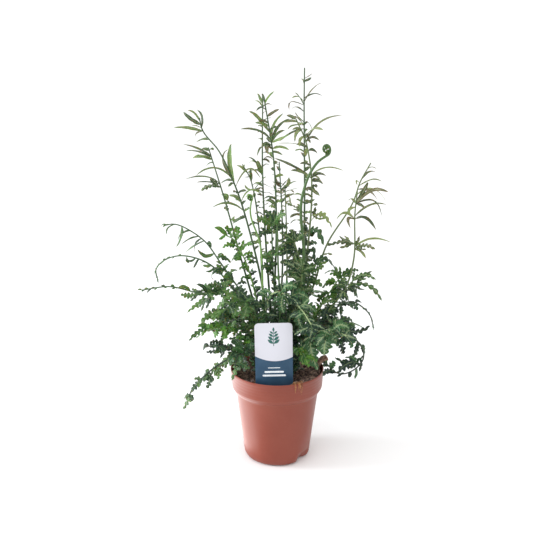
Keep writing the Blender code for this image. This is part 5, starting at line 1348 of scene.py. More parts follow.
# How far the small leaflets spread, seen from the front: the row, and the left and right columns
SPREAD = ((95, 256, 308), (130, 246, 314), (165, 240, 320), (200, 226, 322), (230, 216, 330),
          (260, 224, 340), (280, 203, 350), (300, 193, 352), (320, 200, 356), (340, 208, 352),
          (360, 224, 344), (376, 233, 324))
# The label's left and right columns and its top and bottom rows, and how far forward it stands
LABEL_WINDOW = (251.0, 293.4, 319.0, 388.0)
LABEL_FRONT = -36.0
# Small leaflets take the dark finish as painted shade, deep in the crown, this close to the pot's middle
# line and below this height
PAINTED_SHADE_REACH = 34.0
PAINTED_SHADE_BELOW = 262.0
# How far past the soil the small leaflets stay clear of the rim, and of the soil itself
RIM_CLEARANCE = 15.0
RIM_REACH = 44.0
SOIL_CLEARANCE = 3.0
COIL_HEART = Vector((-0.9, 0.0, -1.3))


def on_label(point: Vector) -> bool:
    """Whether a point would hide the label from the front."""
    (column, row), (left, right, top, bottom) = picture(point), LABEL_WINDOW
    return point.y < LABEL_FRONT and left < column < right and top < row < bottom


def hides_label(leaflet: Leaflet) -> bool:
    """Whether a leaflet would hide a part of the label."""
    return any(on_label(leaflet.rib(step / 6.0)[0]) for step in range(2, 7))


def has_room(point: Vector) -> bool:
    """Whether a small leaflet may lie at a point.

    Args:
        point: The point.

    Returns:
        Whether it is clear of the pot and the label and inside the plant's outline.
    """
    low, high = CAD_BOX
    inside = all(low[k] / MM < point[k] < high[k] / MM for k in range(3))
    near_rim = point.z < SOIL_TOP + RIM_CLEARANCE and math.hypot(point.x, point.y) > RIM_REACH
    if not inside or near_rim or point.z < SOIL_TOP + SOIL_CLEARANCE or on_label(point):
        return False
    column, row = picture(point)
    for (row_a, left_a, right_a), (row_b, left_b, right_b) in zip(SPREAD, SPREAD[1:]):
        if row_a <= row <= row_b:
            share = (row - row_a) / (row_b - row_a)
            return left_a + (left_b - left_a) * share < column < right_a + (right_b - right_a) * share
    return False


def radii_on(points: Sequence[Vector], radii: Sequence[float], curve: Sequence[Vector]) -> list[float]:
    """The radius at each point of a smooth curve through given points.

    Args:
        points: The points that the curve meets.
        radii: The radius at each.
        curve: The curve's own points.

    Returns:
        The radii.
    """
    found, at = [], 0
    for spot in curve:
        while at < len(points) - 2 and (spot - points[at + 1]).length < 1e-6:
            at += 1
        share = min(1.0, (spot - points[at]).length / (points[at + 1] - points[at]).length)
        found.append(radii[at] + (radii[at + 1] - radii[at]) * share)
    return found


@dataclass
class Crown:
    """Every frond of the plant, each a piece of its own that stands for its CAD node."""

    plan: Plan
    stem_sides: int = 8
    coil_sides: int = 12
    stem_step: float = 4.0
    coil_step: float = 1.6
    stem_share: float = 1.25
    coil_share: float = 1.2
    lobe_share: float = 0.5
    lobe_spread: float = 0.78
    lobe_width: float = 0.7
    lobe_shortest: float = 15.0
    fringe_from: float = 0.55
    fringe_gap: float = 7.0

    def build(self) -> None:
        """Build and dress every frond."""
        blades = {leaf: leaf.value[0].material(leaf.name.lower()) for leaf in Leaf}
        stalks = {leaf: leaf.value[1].material(leaf.name.lower()) for leaf in Leaf}
        for number, frond in enumerate(self.plan.fronds):
            bare = frond.name.removeprefix("sterile_").removeprefix("fertile_")
            usual = Leaf.FERTILE if frond.name.startswith("fertile") else Leaf.GREEN
            leaf = next((finish for finish in Leaf if bare in finish.value[2]), usual)
            # The third material, the dark blade, is painted shade for small leaflets deep in the crown
            materials = [stalks[leaf], blades[leaf], blades[Leaf.DARK]]
            thing = self.frond(frond, Random(SEED + number), materials)
            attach(thing, "root")
            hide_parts(frond.name)

    def frond(self, frond: Frond, draw: Random, materials: list[Material]) -> Object:
        """One frond: its stem, with leaflets or a coil.

        Args:
            frond: The frond's plan.
            draw: The random draw.
            materials: The stem's material, the leaflets' and the dark one, painted shade for small leaflets
                deep in the crown.

        Returns:
            The piece.
        """
        draft, points = Draft(), list(frond.points)
        radii = [radius * self.stem_share for radius in frond.radii()]
        if frond.crook:
            coil = self.plan.coil(frond)
            fall = COIL_END_SHARE - COIL_START_SHARE
            radii += [frond.crook[2] * self.coil_share * (COIL_START_SHARE + fall * (i + 1) / len(coil))
                      for i in range(len(coil))]
            points += coil
        curve = smooth(points, self.coil_step if frond.crook else self.stem_step)
        sides = self.coil_sides if frond.crook else self.stem_sides
        draft.tube(curve, radii_on(points, radii, curve), sides, 0.5)
        leaflets = self.plan.grown(frond)
        shaped = BROAD if frond.name.endswith("palmate_right") else TOOTHED
        for leaflet in leaflets:
            leaflet.root = min(curve, key=lambda spot: (spot - leaflet.root).length).copy()
            draft.blade(leaflet, shaped if leaflet.lobed else STRAP, draw, 1)
            if leaflet.lobed and (leaflet.tip - leaflet.root).length > self.lobe_shortest:
                for side in (-1.0, 1.0):
                    lobe = self.lobe(leaflet, side, draw)
                    if not hides_label(lobe):
                        draft.blade(lobe, LOBE, draw, 1)
        small, tiny = [], []
        if frond.crook:
            tiny = self.buds(coil, draw)
        else:
            small = self.fillers(frond, curve, draw)
        for leaflet in small:
            # Low leaflets near the middle take the dark finish: painted shade of the crown's interior
            deep = math.hypot(leaflet.tip.x, leaflet.tip.y) < PAINTED_SHADE_REACH and leaflet.tip.z < PAINTED_SHADE_BELOW
            draft.blade(leaflet, TOOTHED if leaflet.lobed else STRAP, draw, 2 if deep else 1)
        if frond.name.startswith("sterile"):
            tiny = self.fringe(curve, leaflets, draw)
        for leaflet in tiny:
            draft.blade(leaflet, SMALL, draw, 1)
        LOG.info("%s: %d leaflets, %d small and %d tiny ones, %d faces", frond.name, len(leaflets),
                 len(small), len(tiny), len(draft.faces))
        return draft.made("looks_" + frond.name, materials)

    def lobe(self, leaflet: Leaflet, side: float, draw: Random) -> Leaflet:
        """A side lobe near the root of a broad leaflet.

        Args:
            leaflet: The leaflet.
            side: -1 for its left, 1 for its right.
            draw: The random draw.

        Returns:
            The lobe.
        """
        root, along = leaflet.rib(draw.uniform(0.1, 0.26))
        across = along.cross(leaflet.face).normalized() * side
        spread = self.lobe_spread * draw.uniform(0.8, 1.25)
        way = along * math.cos(spread) + across * math.sin(spread)
        length = (leaflet.tip - leaflet.root).length * self.lobe_share * draw.uniform(0.75, 1.15)
        middle = root + way * length * 0.5 - along * length * 0.12
        width = leaflet.width * self.lobe_width
        return Leaflet(root, middle, root + way * length, width, True, leaflet.face)

    def buds(self, coil: list[Vector], draw: Random) -> list[Leaflet]:
        """The rolled-up leaflets that fill a coil.

        Args:
            coil: The coil's points.
            draw: The random draw.

        Returns:
            The leaflets.
        """
        middle = sum(coil, Vector()) / len(coil) + COIL_HEART
        found = []
        for point in coil:
            tip = point + (middle - point) * draw.uniform(0.5, 0.95) + UP * draw.uniform(-0.6, 0.6)
            halfway = (point + tip) * 0.5 + Vector((draw.uniform(-0.6, 0.6), -0.8, draw.uniform(-0.6, 0.6)))
            found.append(Leaflet(point.copy(), halfway, tip, 2.5, False, facing(point, 0.3)))
        return found

    def fringe(self, curve: list[Vector], leaflets: list[Leaflet], draw: Random) -> list[Leaflet]:
        """Tiny leaflets along the outer end of a stem, wherever no leaflet stands.

        Args:
            curve: The stem's middle line.
            leaflets: The leaflets that it carries.
            draw: The random draw.

        Returns:
            The tiny leaflets.
        """
        found, side, way = [], 1.0, 0.0
        start = sum((second - first).length for first, second in runs(curve)) * self.fringe_from
        for first, second in runs(curve):
            way += (second - first).length
            near = any((second - leaflet.root).length < self.fringe_gap for leaflet in leaflets)
            if way < start or near:
                continue
            start = way + FRINGE.step * draw.uniform(0.8, 1.3)
            along = (second - first).normalized()
            face = facing(second, 0.4)
            side = -side
            grow = (along.cross(face).normalized() * side + along * draw.uniform(1.5, 3.0)).normalized()
            length = draw.uniform(*FRINGE.lengths)
            middle = second + grow * length * 0.5 + UP * length * 0.06
            tip = second + grow * length - UP * length * draw.uniform(0.0, 0.25)
            if not on_label(tip):
                width = FRINGE.width * draw.uniform(0.8, 1.2)
                found.append(Leaflet(second.copy(), middle, tip, width, False, face))
        return found

    def fillers(self, frond: Frond, curve: list[Vector], draw: Random) -> list[Leaflet]:
        """Small leaflets along a stem, where they find room.

        Args:
            frond: The frond.
            curve: Its stem's middle line.
            draw: The random draw.

        Returns:
            The leaflets.
        """
        found = []
        tall = frond.name.startswith("fertile")
        for filling in (UPPER_STRAPS, MIDDLE_LEAFLETS) if tall else (LOW_LEAFLETS,):
            way, start = 0.0, filling.step * draw.random()
            for first, second in runs(curve):
                way += (second - first).length
                if way < start or not filling.rows[0] < picture(second)[1] < filling.rows[1]:
                    continue
                start = way + filling.step * draw.uniform(0.7, 1.3)
                aside = heading(draw.uniform(0.0, math.tau))
                grow = (aside + (second - first).normalized() * 0.45).normalized()
                length = draw.uniform(*filling.lengths)
                middle = second + grow * length * 0.5 + UP * length * draw.uniform(0.03, 0.12)
                tip = second + grow * length - UP * length * draw.uniform(0.0, 0.35)
                width = filling.width * draw.uniform(0.8, 1.2)
                leaflet = Leaflet(second.copy(), middle, tip, width, filling.lobed, facing(middle, 0.5))
                if has_room(middle) and has_room(tip) and not hides_label(leaflet):
                    found.append(leaflet)
        return found


def rounded(profile: Profile, fillets: dict[int, float], steps: int = 4) -> Profile:
    """A section with some of its corners rounded.

    Args:
        profile: The section's (radius, height) points.
        fillets: For the number of each rounded corner, how far from it the rounding starts.
        steps: How many runs a rounding has.

    Returns:
        The rounded section.
    """
    done = []
    for i, spot in enumerate(profile):
        if i not in fillets:
            done.append(spot)
            continue
        corner = Vector(spot)
        start, end = (corner + (Vector(profile[near]) - corner).normalized() * fillets[i]
                      for near in (i - 1, i + 1))
        for step in range(steps + 1):
            t = step / steps
            done.append(tuple(start * (1 - t)**2 + corner * 2 * t * (1 - t) + end * t**2))
    return done


def chosen(*things: Object) -> Object:
    """The first of some objects, made active, with all of them and nothing else selected."""
    bpy.ops.object.select_all(action="DESELECT")
    for thing in things:
        thing.select_set(True)
    bpy.context.view_layer.objects.active = things[0]
    return things[0]


def editing(thing: Object) -> None:
    """Start to edit the whole of one object."""
    chosen(thing)
    bpy.ops.object.mode_set(mode="EDIT")
    bpy.ops.mesh.select_all(action="SELECT")


def edited(thing: Object) -> Object:
    """The object that was edited, its faces turned outwards."""
    bpy.ops.mesh.select_all(action="SELECT")
    bpy.ops.mesh.normals_make_consistent(inside=False)
    bpy.ops.object.mode_set(mode="OBJECT")
    return thing


def shaded(thing: Object, sharp: float) -> None:
    """Shade an object smooth but for the edges past an angle in degrees."""
    chosen(thing)
    bpy.ops.object.shade_smooth_by_angle(angle=math.radians(sharp))


def joined(name: str, things: Sequence[Object]) -> Object:
    """One named piece made of several objects."""
    piece = chosen(*things)
    bpy.ops.object.join()
    piece.name = piece.data.name = name
    return piece


def with_modifier(thing: Object, kind: str, **settings: object) -> None:
    """Apply a modifier to an object.

    Args:
        thing: The object.
        kind: The modifier's type.
        settings: Its settings.
    """
    modifier = thing.modifiers.new(kind.lower(), kind)
    for name, value in settings.items():
        setattr(modifier, name, value)
    chosen(thing)
    bpy.ops.object.modifier_apply(modifier=modifier.name)


def turned(name: str, profile: Profile, sides: int) -> Object:
    """A turned solid, drawn out ring by ring from a circle and closed at both ends.

    Args:
        name: Its name.
        profile: Its (radius, height) points in millimetres, without the points on the axis.
        sides: How many sides it has.

    Returns:
        The object.
    """
    bpy.ops.mesh.primitive_circle_add(vertices=sides, radius=profile[0][0] * MM)
    thing = bpy.context.object
    thing.name = thing.data.name = name
    editing(thing)
    bpy.ops.transform.translate(value=(0.0, 0.0, profile[0][1] * MM))
    bpy.ops.mesh.extrude_edges_move()
    bpy.ops.mesh.merge(type="CENTER")
    bpy.ops.mesh.select_all(action="DESELECT")
    bpy.ops.mesh.select_non_manifold()
    for (radius, height), (next_radius, next_height) in zip(profile, profile[1:]):
        share = next_radius / radius
        bpy.ops.mesh.extrude_edges_move(
            TRANSFORM_OT_translate={"value": (0.0, 0.0, (next_height - height) * MM)})
        bpy.ops.transform.resize(value=(share, share, 1.0), center_override=(0.0, 0.0, next_height * MM))
    bpy.ops.mesh.extrude_edges_move()
    bpy.ops.mesh.merge(type="CENTER")
    return edited(thing)


def dressed(thing: Object, material: Material, sharp: float, slot: str, *nodes: str) -> Object:
    """Give a piece its shading, its material and its body.

    Args:
        thing: The piece.
        material: Its material.
        sharp: The angle in degrees past which its edges are sharp, or 0 where it is shaded already.
        slot: Not used.
        nodes: The CAD nodes that it stands for.

    Returns:
        The piece.
    """
    if sharp:
        shaded(thing, sharp)
    thing.data.materials.clear()
    thing.data.materials.append(material)
    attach(thing, "root")
    if nodes:
        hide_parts(*nodes)
    LOG.info("%s: %d faces", thing.name, len(thing.data.polygons))
    return thing


@dataclass
class NurseryPot:
    """The moulded pot: a deep collar under a rolled rim, a tapered body and scoops at its foot."""

    height: float = 122.0
    wall: float = 1.3
    floor: float = 1.6
    rim: float = 60.0
    collar_foot: float = 58.5
    collar_height: float = 98.6
    body_top: float = 53.2
    body_height: float = 91.6
    foot: float = 43.2
    foot_height: float = 11.0
    base: float = 36.5
    rings: tuple[float, ...] = (10.0, 20.0, 28.0)
    scoops: tuple[float, ...] = (-36.0, 144.0)
    scoop_depth: float = 6.5
    scoop_height: float = 17.0
    scoop_angle: float = 18.0
    drain_holes: int = 5
    drain_ring: float = 24.0
    drain_radius: float = 3.0
    drain_sides: int = 28
    sides: int = 168
    sharp: float = 34.0

    def section(self) -> Profile:
        """The pot's section, from its underside round the rim to its floor."""
        wall, top = self.wall, self.height
        outside = [*((ring, 0.0) for ring in self.rings), (self.base, 0.0), (self.base + 3.8, 2.4),
                   (self.foot - 0.7, self.foot_height * 0.6), (self.foot, self.foot_height),
                   (self.foot + 0.3, 14.0), (self.foot + 0.6, self.scoop_height),
                   (self.foot + 4.0, 45.0), (self.body_top, self.body_height),
                   (self.collar_foot - 2.2, self.collar_height - 4.2),
                   (self.collar_foot, self.collar_height),
                   (self.rim - 0.35, top - 4.0), (self.rim, top - 3.4), (self.rim, top - 0.9),
                   (self.rim - 0.7, top), (self.rim - wall, top - 0.9)]
        inside = [(self.collar_foot - wall, self.collar_height),
                  (self.body_top - wall, self.body_height + 0.4),
                  (self.foot + 0.6 - wall, self.scoop_height), (self.foot - wall, self.foot_height),
                  (self.base + 1.0, self.floor + 0.6), *((ring, self.floor) for ring in self.rings[::-1])]
        return rounded(outside + inside, {3: 1.6, 4: 1.4, 10: 2.2, 11: 1.8, 12: 1.0, 16: 0.5})

    def scooped(self, radius: float, height: float, bearing: float) -> float:
        """The radius, drawn in at the scoops of the foot.

        Args:
            radius: The radius without scoops.
            height: The height.
            bearing: The bearing in degrees.

        Returns:
            The radius with scoops.
        """
        if height > self.scoop_height or radius < self.drain_ring + self.drain_radius + 2.0:
            return radius
        for scoop in self.scoops:
            turn = abs((bearing - scoop + 180.0) % 360.0 - 180.0)
            if turn < self.scoop_angle:
                across = 0.5 + 0.5 * math.cos(math.pi * turn / self.scoop_angle)
                down = 1.0 - (height / self.scoop_height)**2
                radius -= self.scoop_depth * math.sqrt(across) * down
        return radius

    def drain(self, pot: Object) -> None:
        """Cut the drain holes through the floor.

        Args:
            pot: The pot.
        """
        drills = bpy.data.collections.new("drills")
        bpy.context.scene.collection.children.link(drills)
        for hole in range(self.drain_holes):
            spot = heading(math.tau * (hole + 0.5) / self.drain_holes) * self.drain_ring * MM
            bpy.ops.mesh.primitive_cylinder_add(vertices=self.drain_sides, radius=self.drain_radius * MM,
                                                depth=self.floor * 6.0 * MM, location=spot)
            drill = bpy.context.object
            for holder in list(drill.users_collection):
                holder.objects.unlink(drill)
            drills.objects.link(drill)
        with_modifier(pot, "BOOLEAN", operand_type="COLLECTION", collection=drills, operation="DIFFERENCE")
        for drill in list(drills.objects):
            bpy.data.objects.remove(drill)
        bpy.data.collections.remove(drills)

    def build(self) -> None:
        """Build and dress the pot."""
        pot = turned("nursery_pot", self.section(), self.sides)
        for vertex in pot.data.vertices:
            spot = vertex.co / MM
            radius = math.hypot(spot.x, spot.y)
            if radius > 1.0:
                bearing = math.degrees(math.atan2(spot.y, spot.x))
                share = self.scooped(radius, spot.z, bearing) / radius
                vertex.co.x *= share
                vertex.co.y *= share
        self.drain(pot)
        dressed(pot, MouldedPlastic().material(), self.sharp, "terracotta", "pot")


@dataclass(frozen=True)
class Strewing:
    """Lumps strewn over the soil: how many, and the range of their sizes, bearings and radii."""

    name: str
    count: int
    sizes: tuple[float, float]
    bearings: tuple[float, float]
    radii: tuple[float, float]
    even: bool


@dataclass
class PottingSoil:
    """The peat in the pot: an uneven surface strewn with crumbs, and paler scraps at its left."""

    sides: int = 120
    ring_step: float = 1.9
    top_radius: float = 55.8
    walls: Sequence[tuple[float, float]] = (
        (20.0, 3.0), (34.5, 6.0), (41.0, 20.0), (51.1, 92.4), (56.2, 99.6), (56.9, 108.6))
    relief: float = 0.78
    roughness: float = 1.5
    reach: float = 54.5
    heap: float = 9.0
    heap_bearing: float = -20.0
    sharp: float = 50.0
    crumbs: Strewing = Strewing("crumb", 520, (0.6, 3.0), (0.0, 360.0), (0.0, 54.5), True)
    scraps: Strewing = Strewing("pale_scraps", 26, (0.8, 2.4), (199.0, 217.0), (35.0, 49.0), False)

    def height(self, x: float, y: float) -> float:
        """Height of the soil's rough surface.

        Args:
            x: The place's X in millimetres.
            y: Its Y.

        Returns:
            The height.
        """
        mounds = math.sin(x * 0.17 + 1.3) * math.cos(y * 0.21) + 0.6 * math.sin(x * 0.33 - y * 0.29)
        rough = noise.fractal(Vector((x * 0.16, y * 0.16, 3.0)), 1.0, 2.0, 4)
        turn = abs((math.degrees(math.atan2(y, x)) - self.heap_bearing + 180.0) % 360.0 - 180.0)
        side = max(0.0, math.cos(math.radians(min(90.0, turn))))
        heap = self.heap * side * min(1.0, math.hypot(x, y) / self.reach)**2
        return SOIL_TOP + self.relief * mounds + rough * self.roughness + heap

    def crumb(self, name: str, spot: Vector, size: float, pattern: bpy.types.Mesh,
              draw: Random) -> Object:
        """A lump at a place.

        Args:
            name: Its name.
            spot: Where it lies, in millimetres.
            size: Its radius.
            pattern: The even lump that it is made from.
            draw: The random draw.

        Returns:
            The lump.
        """
        lump = linked(name, pattern.copy())
        turn = Matrix.Rotation(draw.uniform(0.0, math.tau), 4, "Z") @ Matrix.Rotation(draw.random(), 4, "X")
        stretch = Vector((draw.uniform(0.8, 1.35), draw.uniform(0.7, 1.1), draw.uniform(0.5, 0.85)))
        for vertex in lump.data.vertices:
            vertex.co = vertex.co * size * draw.uniform(0.8, 1.2) * stretch
        lump.data.transform(Matrix.Translation(spot * MM) @ turn)
        return lump

    def strewn(self, kind: Strewing, draw: Random) -> list[Object]:
        """Lumps strewn over the soil.

        Args:
            kind: What they are.
            draw: The random draw.

        Returns:
            The lumps.
        """
        lumps = []
        bpy.ops.mesh.primitive_ico_sphere_add(subdivisions=1, radius=MM)
        pattern = bpy.context.object
        for _ in range(kind.count):
            bearing = draw.uniform(*kind.bearings)
            radius = kind.radii[1] * math.sqrt(draw.random()) if kind.even else draw.uniform(*kind.radii)
            x, y = radius * math.cos(math.radians(bearing)), radius * math.sin(math.radians(bearing))
            size = kind.sizes[0] + (kind.sizes[1] - kind.sizes[0]) * draw.random()**2.2
            spot = Vector((x, y, self.height(x, y) + size * 0.25))
            lumps.append(self.crumb(kind.name, spot, size, pattern.data, draw))
        bpy.data.objects.remove(pattern)
        return lumps

    def build(self) -> None:
        """Build and dress the soil and its scraps."""
        draw = Random(SEED)
        rings = math.floor(55.0 / self.ring_step)
        top = [(self.top_radius - step * self.ring_step, SOIL_TOP) for step in range(rings)]
        soil = turned("potting_soil", [*self.walls, *top], self.sides)
        for vertex in soil.data.vertices:
            if vertex.co.z / MM > SOIL_TOP - 1.0:
                vertex.co.z = self.height(vertex.co.x / MM, vertex.co.y / MM) * MM
        shaded(soil, self.sharp)
        soil = joined("potting_soil", [soil, *self.strewn(self.crumbs, draw)])
        dressed(soil, Peat().material(), 0.0, "peat", "soil")
        scraps = joined(self.scraps.name, self.strewn(self.scraps, draw))
        finish = Peat("dry_scraps", linear(150, 122, 122), linear(214, 190, 188), linear(176, 150, 144))
        dressed(scraps, finish.material(), 0.0, "peat")


@dataclass
class PlantLabel:
    """The stiff printed label pushed into the soil at the front, with a plain leaf sprig on it."""

    width: float = 46.6
    top: float = 198.3
    thick: float = 0.8
    depth: float = -45.0
    centre: float = -3.7
    tilt: float = 1.1
    corner: float = 5.0
    shoulder: float = 104.0
    point: float = 66.0
    tip: float = 6.0
    edge: float = 0.12
    ink_proud: float = 0.12
    ink_sunk: float = 0.05
    sharp: float = 40.0
    stem: Sequence[tuple[float, float]] = ((-0.45, 58.5), (0.45, 58.5), (0.25, 78.0), (-0.25, 78.0))
    leaves: Sequence[tuple[float, float]] = ((61.5, 9.0), (66.0, 8.2), (70.5, 7.0), (74.5, 5.4))
    bars: Sequence[Triple] = ((29.6, 15.0, 0.9), (24.2, 24.0, 2.4), (19.4, 29.0, 2.4))

    def outline(self) -> Profile:
        """Outline of the plate in its own plane."""
        half, top, corner = self.width * 0.5, self.top - SOIL_TOP, self.corner
        point, shoulder = self.point - SOIL_TOP, self.shoulder - SOIL_TOP
        points = [(-self.tip, point), (self.tip, point), (half, shoulder)]
        for side in (1.0, -1.0):
            for step in range(9):
                angle = math.radians(step * 11.25 + (0.0 if side > 0 else 90.0))
                points.append((side * (half - corner) + corner * math.cos(angle),
                               top - corner + corner * math.sin(angle)))
        return [*points, (-half, shoulder)]

    def bar(self, z: float, width: float, height: float) -> Profile:
        """Outline of a printed bar with round ends.

        Args:
            z: Its middle up from the soil.
            width: Its width.
            height: Its height.

        Returns:
            The outline.
        """
        points = []
        for side in (1.0, -1.0):
            for step in range(7):
                angle = math.radians(-90.0 * side + 30.0 * step)
                middle = side * (width - height) * 0.5
                points.append((middle + height * 0.5 * math.cos(angle), z + height * 0.5 * math.sin(angle)))
        return points

    def leaf(self, x: float, z: float, turn: float, length: float) -> Profile:
        """Outline of a plain pointed leaf.

        Args:
            x: Its root across the label.
            z: Its root up from the soil.
            turn: The way it points, in degrees.
            length: Its length.

        Returns:
            The outline.
        """
        way = Vector((math.cos(math.radians(turn)), math.sin(math.radians(turn))))
        side = Vector((-way.y, way.x))
        points = []
        for sign in (1.0, -1.0):
            for step in range(6):
                share = step / 6.0 if sign > 0 else 1.0 - step / 6.0
                spot = Vector((x, z)) + way * length * share
                points.append(tuple(spot + side * sign * length * 0.22 * math.sin(math.pi * share)))
        return points

    def plate(self, name: str, outline: Profile, front: float, back: float) -> Object:
        """A flat plate with a given outline.

        Args:
            name: Its name.
            outline: Its outline in the label's own plane.
            front: How far its face stands in front of the label's middle.
            back: How far its back does.

        Returns:
            The plate.
        """
        turn = Matrix.Rotation(math.radians(-self.tilt), 4, "Y")
        foot = Vector((self.centre, self.depth, SOIL_TOP))
        mesh = bpy.data.meshes.new(name)
        mesh.from_pydata([(foot + turn @ Vector((x, -front, z))) * MM for x, z in outline], [],
                         [range(len(outline))])
        thing = linked(name, mesh)
        editing(thing)
        bpy.ops.mesh.extrude_region_move(TRANSFORM_OT_translate={"value": (0.0, (front - back) * MM, 0.0)})
        return edited(thing)

    def printed(self, name: str, outlines: Sequence[Profile], ink: Ink) -> None:
        """One ink's printing on the label.

        Args:
            name: The piece's name.
            outlines: The outlines it prints.
            ink: The ink.
        """
        front, back = self.thick * 0.5 + self.ink_proud, self.thick * 0.5 - self.ink_sunk
        plates = [self.plate(name, outline, front, back) for outline in outlines]
        dressed(joined(name, plates), ink.material(), 0.0, "label_white")

    def build(self) -> None:
        """Build and dress the label and its printing."""
        card = self.plate("plant_label", self.outline(), self.thick * 0.5, -self.thick * 0.5)
        with_modifier(card, "BEVEL", width=self.edge * MM, segments=2, limit_method="ANGLE")
        dressed(card, PrintedCard().material(), self.sharp, "label_white", "label")
        sprig = [self.stem]
        for height, length in self.leaves:
            sprig += [self.leaf(0.3, height, 38.0, length), self.leaf(-0.3, height, 142.0, length)]
        sprig.append(self.leaf(0.0, 77.0, 90.0, 6.0))
        self.printed("label_sprig", sprig, Ink("green_ink", linear(36, 92, 84)))
        lines = [self.bar(*bar) for bar in self.bars]
        self.printed("label_lines", lines, Ink("white_ink", linear(226, 232, 238)))


@dataclass
class BarkChip:
    """The chip of bark at the right end of the rim, split and weathered."""

    cuts: int = 3
    roughness: float = 0.65
    sharp: float = 45.0

    def build(self) -> None:
        """Build and dress the chip."""
        chip = linked("weathered_bark_chip", frame["nodes"]["bark_chip"].data.copy())
        editing(chip)
        bpy.ops.mesh.remove_doubles(threshold=1e-5)
        bpy.ops.mesh.subdivide(number_cuts=self.cuts)
        bpy.ops.mesh.vertices_smooth(factor=0.4, repeat=2)
        edited(chip)
        for vertex in chip.data.vertices:
            spot = vertex.co / MM
            strip = noise.noise(Vector((spot.x * 0.35, spot.y * 1.4, spot.z * 0.9)))
            vertex.co += vertex.normal * strip * self.roughness * MM
        dressed(chip, Bark().material(), self.sharp, "bark", "bark_chip")


@dataclass
class RootTuft:
    """The tuft of root fibre that hangs over the front of the rim."""

    strands: Sequence[Sequence[float]] = (
        (-70.0, 0.0, 15.0, 0.2), (-65.0, 0.4, 11.0, 0.4), (-61.0, 0.0, 17.0, 0.1))
    inner: Sequence[float] = (-71.0, -69.5, -68.0, -67.0, -65.5, -64.0, -62.5)
    hairs: int = 4
    sides: int = 6
    step: float = 1.6
    start_bearing: float = -68.0
    rim: float = 122.0

    def path(self, bearing: float, reach: float, drop: float, lift: float) -> list[Vector]:
        """A fibre that rises from the soil, bends over the rim and hangs down outside.

        Args:
            bearing: Its bearing in degrees.
            reach: How far off the rim it hangs.
            drop: How far down it hangs.
            lift: How high over the rim it bends.

        Returns:
            Its points.
        """
        out, start = heading(math.radians(bearing)), heading(math.radians(self.start_bearing))
        over = self.rim + 1.0 + lift
        return [start * 50.0 + UP * (SOIL_TOP + 1.0), out * 54.6 + UP * (over - 4.0),
                out * 57.4 + UP * over, out * 60.2 + UP * (over + 0.4),
                out * (61.6 + reach) + UP * (over - 3.0), out * (61.8 + reach) + UP * (over - drop)]

    def fibre(self, draft: Draft, points: Sequence[Vector], thick: float, taper: float, tone: float) -> None:
        """Add one fibre.

        Args:
            draft: The tuft's mesh.
            points: The fibre's points.
            thick: Its radius at its root.
            taper: The share of that which it loses towards its end.
            tone: How light it is.
        """
        curve = smooth(points, self.step)
        radii = [thick * (1.0 - taper * i / len(curve)) for i in range(len(curve))]
        draft.tube(curve, radii, self.sides, tone)

    def build(self) -> None:
        """Build and dress the tuft."""
        draw, draft = Random(SEED), Draft()
        for bearing in self.inner:
            out = heading(math.radians(bearing))
            points = [out * 58.6 + UP * (self.rim + 0.5),
                      out * 54.0 + UP * (self.rim - draw.uniform(1.0, 3.0)),
                      out * 48.0 + UP * (SOIL_TOP + draw.uniform(4.0, 8.0)),
                      out * 43.0 + UP * (SOIL_TOP + 2.0)]
            self.fibre(draft, points, 0.28, 0.4, draw.random())
        for bearing, reach, drop, lift in self.strands:
            for hair in range(self.hairs):
                points = self.path(bearing + draw.uniform(-2.2, 2.2), reach, drop * draw.uniform(0.6, 1.0),
                                   lift + draw.uniform(0.0, 0.4))
                bent = [spot + Vector((draw.uniform(-0.5, 0.5), 0.0, draw.uniform(-0.4, 0.4)))
                        for spot in points]
                self.fibre(draft, bent, 0.24 if hair else 0.42, 0.45, draw.random())
        dressed(draft.made("root_tuft"), RootFibre().material(), 0.0, "root_fibre", "root_fibres")


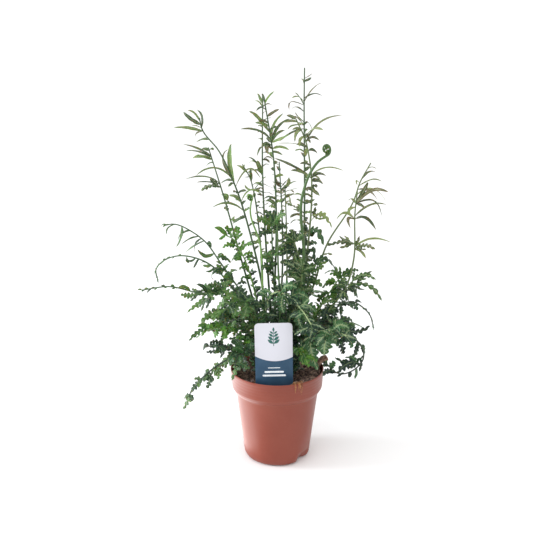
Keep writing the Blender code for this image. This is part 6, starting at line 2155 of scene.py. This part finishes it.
@dataclass
class Studio:
    """The pale floor, the soft light and the camera."""

    floor_half: float = 150.0
    sky: float = 1.0
    sun: float = 0.75
    sun_width: float = 60.0
    sun_turn: Triple = (38.0, -22.0, 0.0)
    key: float = 15.0
    glow: float = 1.0
    cool: Colour = (0.9, 0.95, 1.0)
    plain: Colour = (1.0, 1.0, 1.0)

    def lamp(self, name: str, spot: Triple, aim: Triple, sizes: tuple[float, float], power: float,
             colour: Colour) -> None:
        """A soft lamp with a flat face.

        Args:
            name: Its name.
            spot: Where it stands, in metres.
            aim: Where it shines.
            sizes: Its width and its height.
            power: Its power in watts.
            colour: Its colour.
        """
        light = bpy.data.lights.new(name, "AREA")
        light.shape = "RECTANGLE"
        light.size, light.size_y = sizes
        light.energy = power
        light.color = colour
        thing = linked(name, light)
        thing.location = spot
        thing.rotation_euler = (Vector(aim) - Vector(spot)).to_track_quat("-Z", "Y").to_euler()
        thing.visible_camera = False

    def build(self) -> None:
        """Set up the floor, the light and the camera."""
        scene = bpy.context.scene
        scene.view_settings.view_transform = "Standard"
        bpy.ops.mesh.primitive_plane_add(size=2.0 * self.floor_half)
        floor = bpy.context.object
        floor.name = floor.data.name = "studio_floor"
        floor.data.materials.append(StudioFloor().material())
        scene.world = bpy.data.worlds.new("studio_light")
        scene.world.use_nodes = True
        backdrop = scene.world.node_tree.nodes["Background"]
        backdrop.inputs["Color"].default_value = (*self.plain, 1.0)
        backdrop.inputs["Strength"].default_value = self.sky
        sun = bpy.data.lights.new("soft_sun", "SUN")
        sun.energy = self.sun
        sun.angle = math.radians(self.sun_width)
        linked("soft_sun", sun).rotation_euler = [math.radians(turn) for turn in self.sun_turn]
        self.lamp("left_key", (-1.3, 0.0, 0.4), (0.0, 0.0, 0.12), (0.4, 0.4), self.key, self.cool)
        self.lamp("left_glow", (-0.3, 0.09, 0.002), (-0.3, 0.0901, 1.0), (0.49, 0.29), self.glow, self.plain)
        camera = bpy.data.cameras.new("camera")
        camera.sensor_fit = "HORIZONTAL"
        camera.sensor_width = SENSOR_WIDTH
        camera.lens = SENSOR_WIDTH * EYE_FOCUS / (2.0 * EYE_CENTRE)
        camera.clip_end = CLIP_END
        camera.dof.use_dof = False
        scene.camera = linked("camera", camera)
        scene.camera.location = EYE * MM
        scene.camera.rotation_euler = (math.pi / 2.0 - EYE_PITCH, 0.0, 0.0)


def main() -> None:
    """Build the studio and every piece."""
    logging.basicConfig(level=logging.INFO, format="%(name)s: %(message)s")
    Studio().build()
    NurseryPot().build()
    PottingSoil().build()
    PlantLabel().build()
    BarkChip().build()
    RootTuft().build()
    Crown(Plan()).build()


if __name__ == "__main__":
    main()
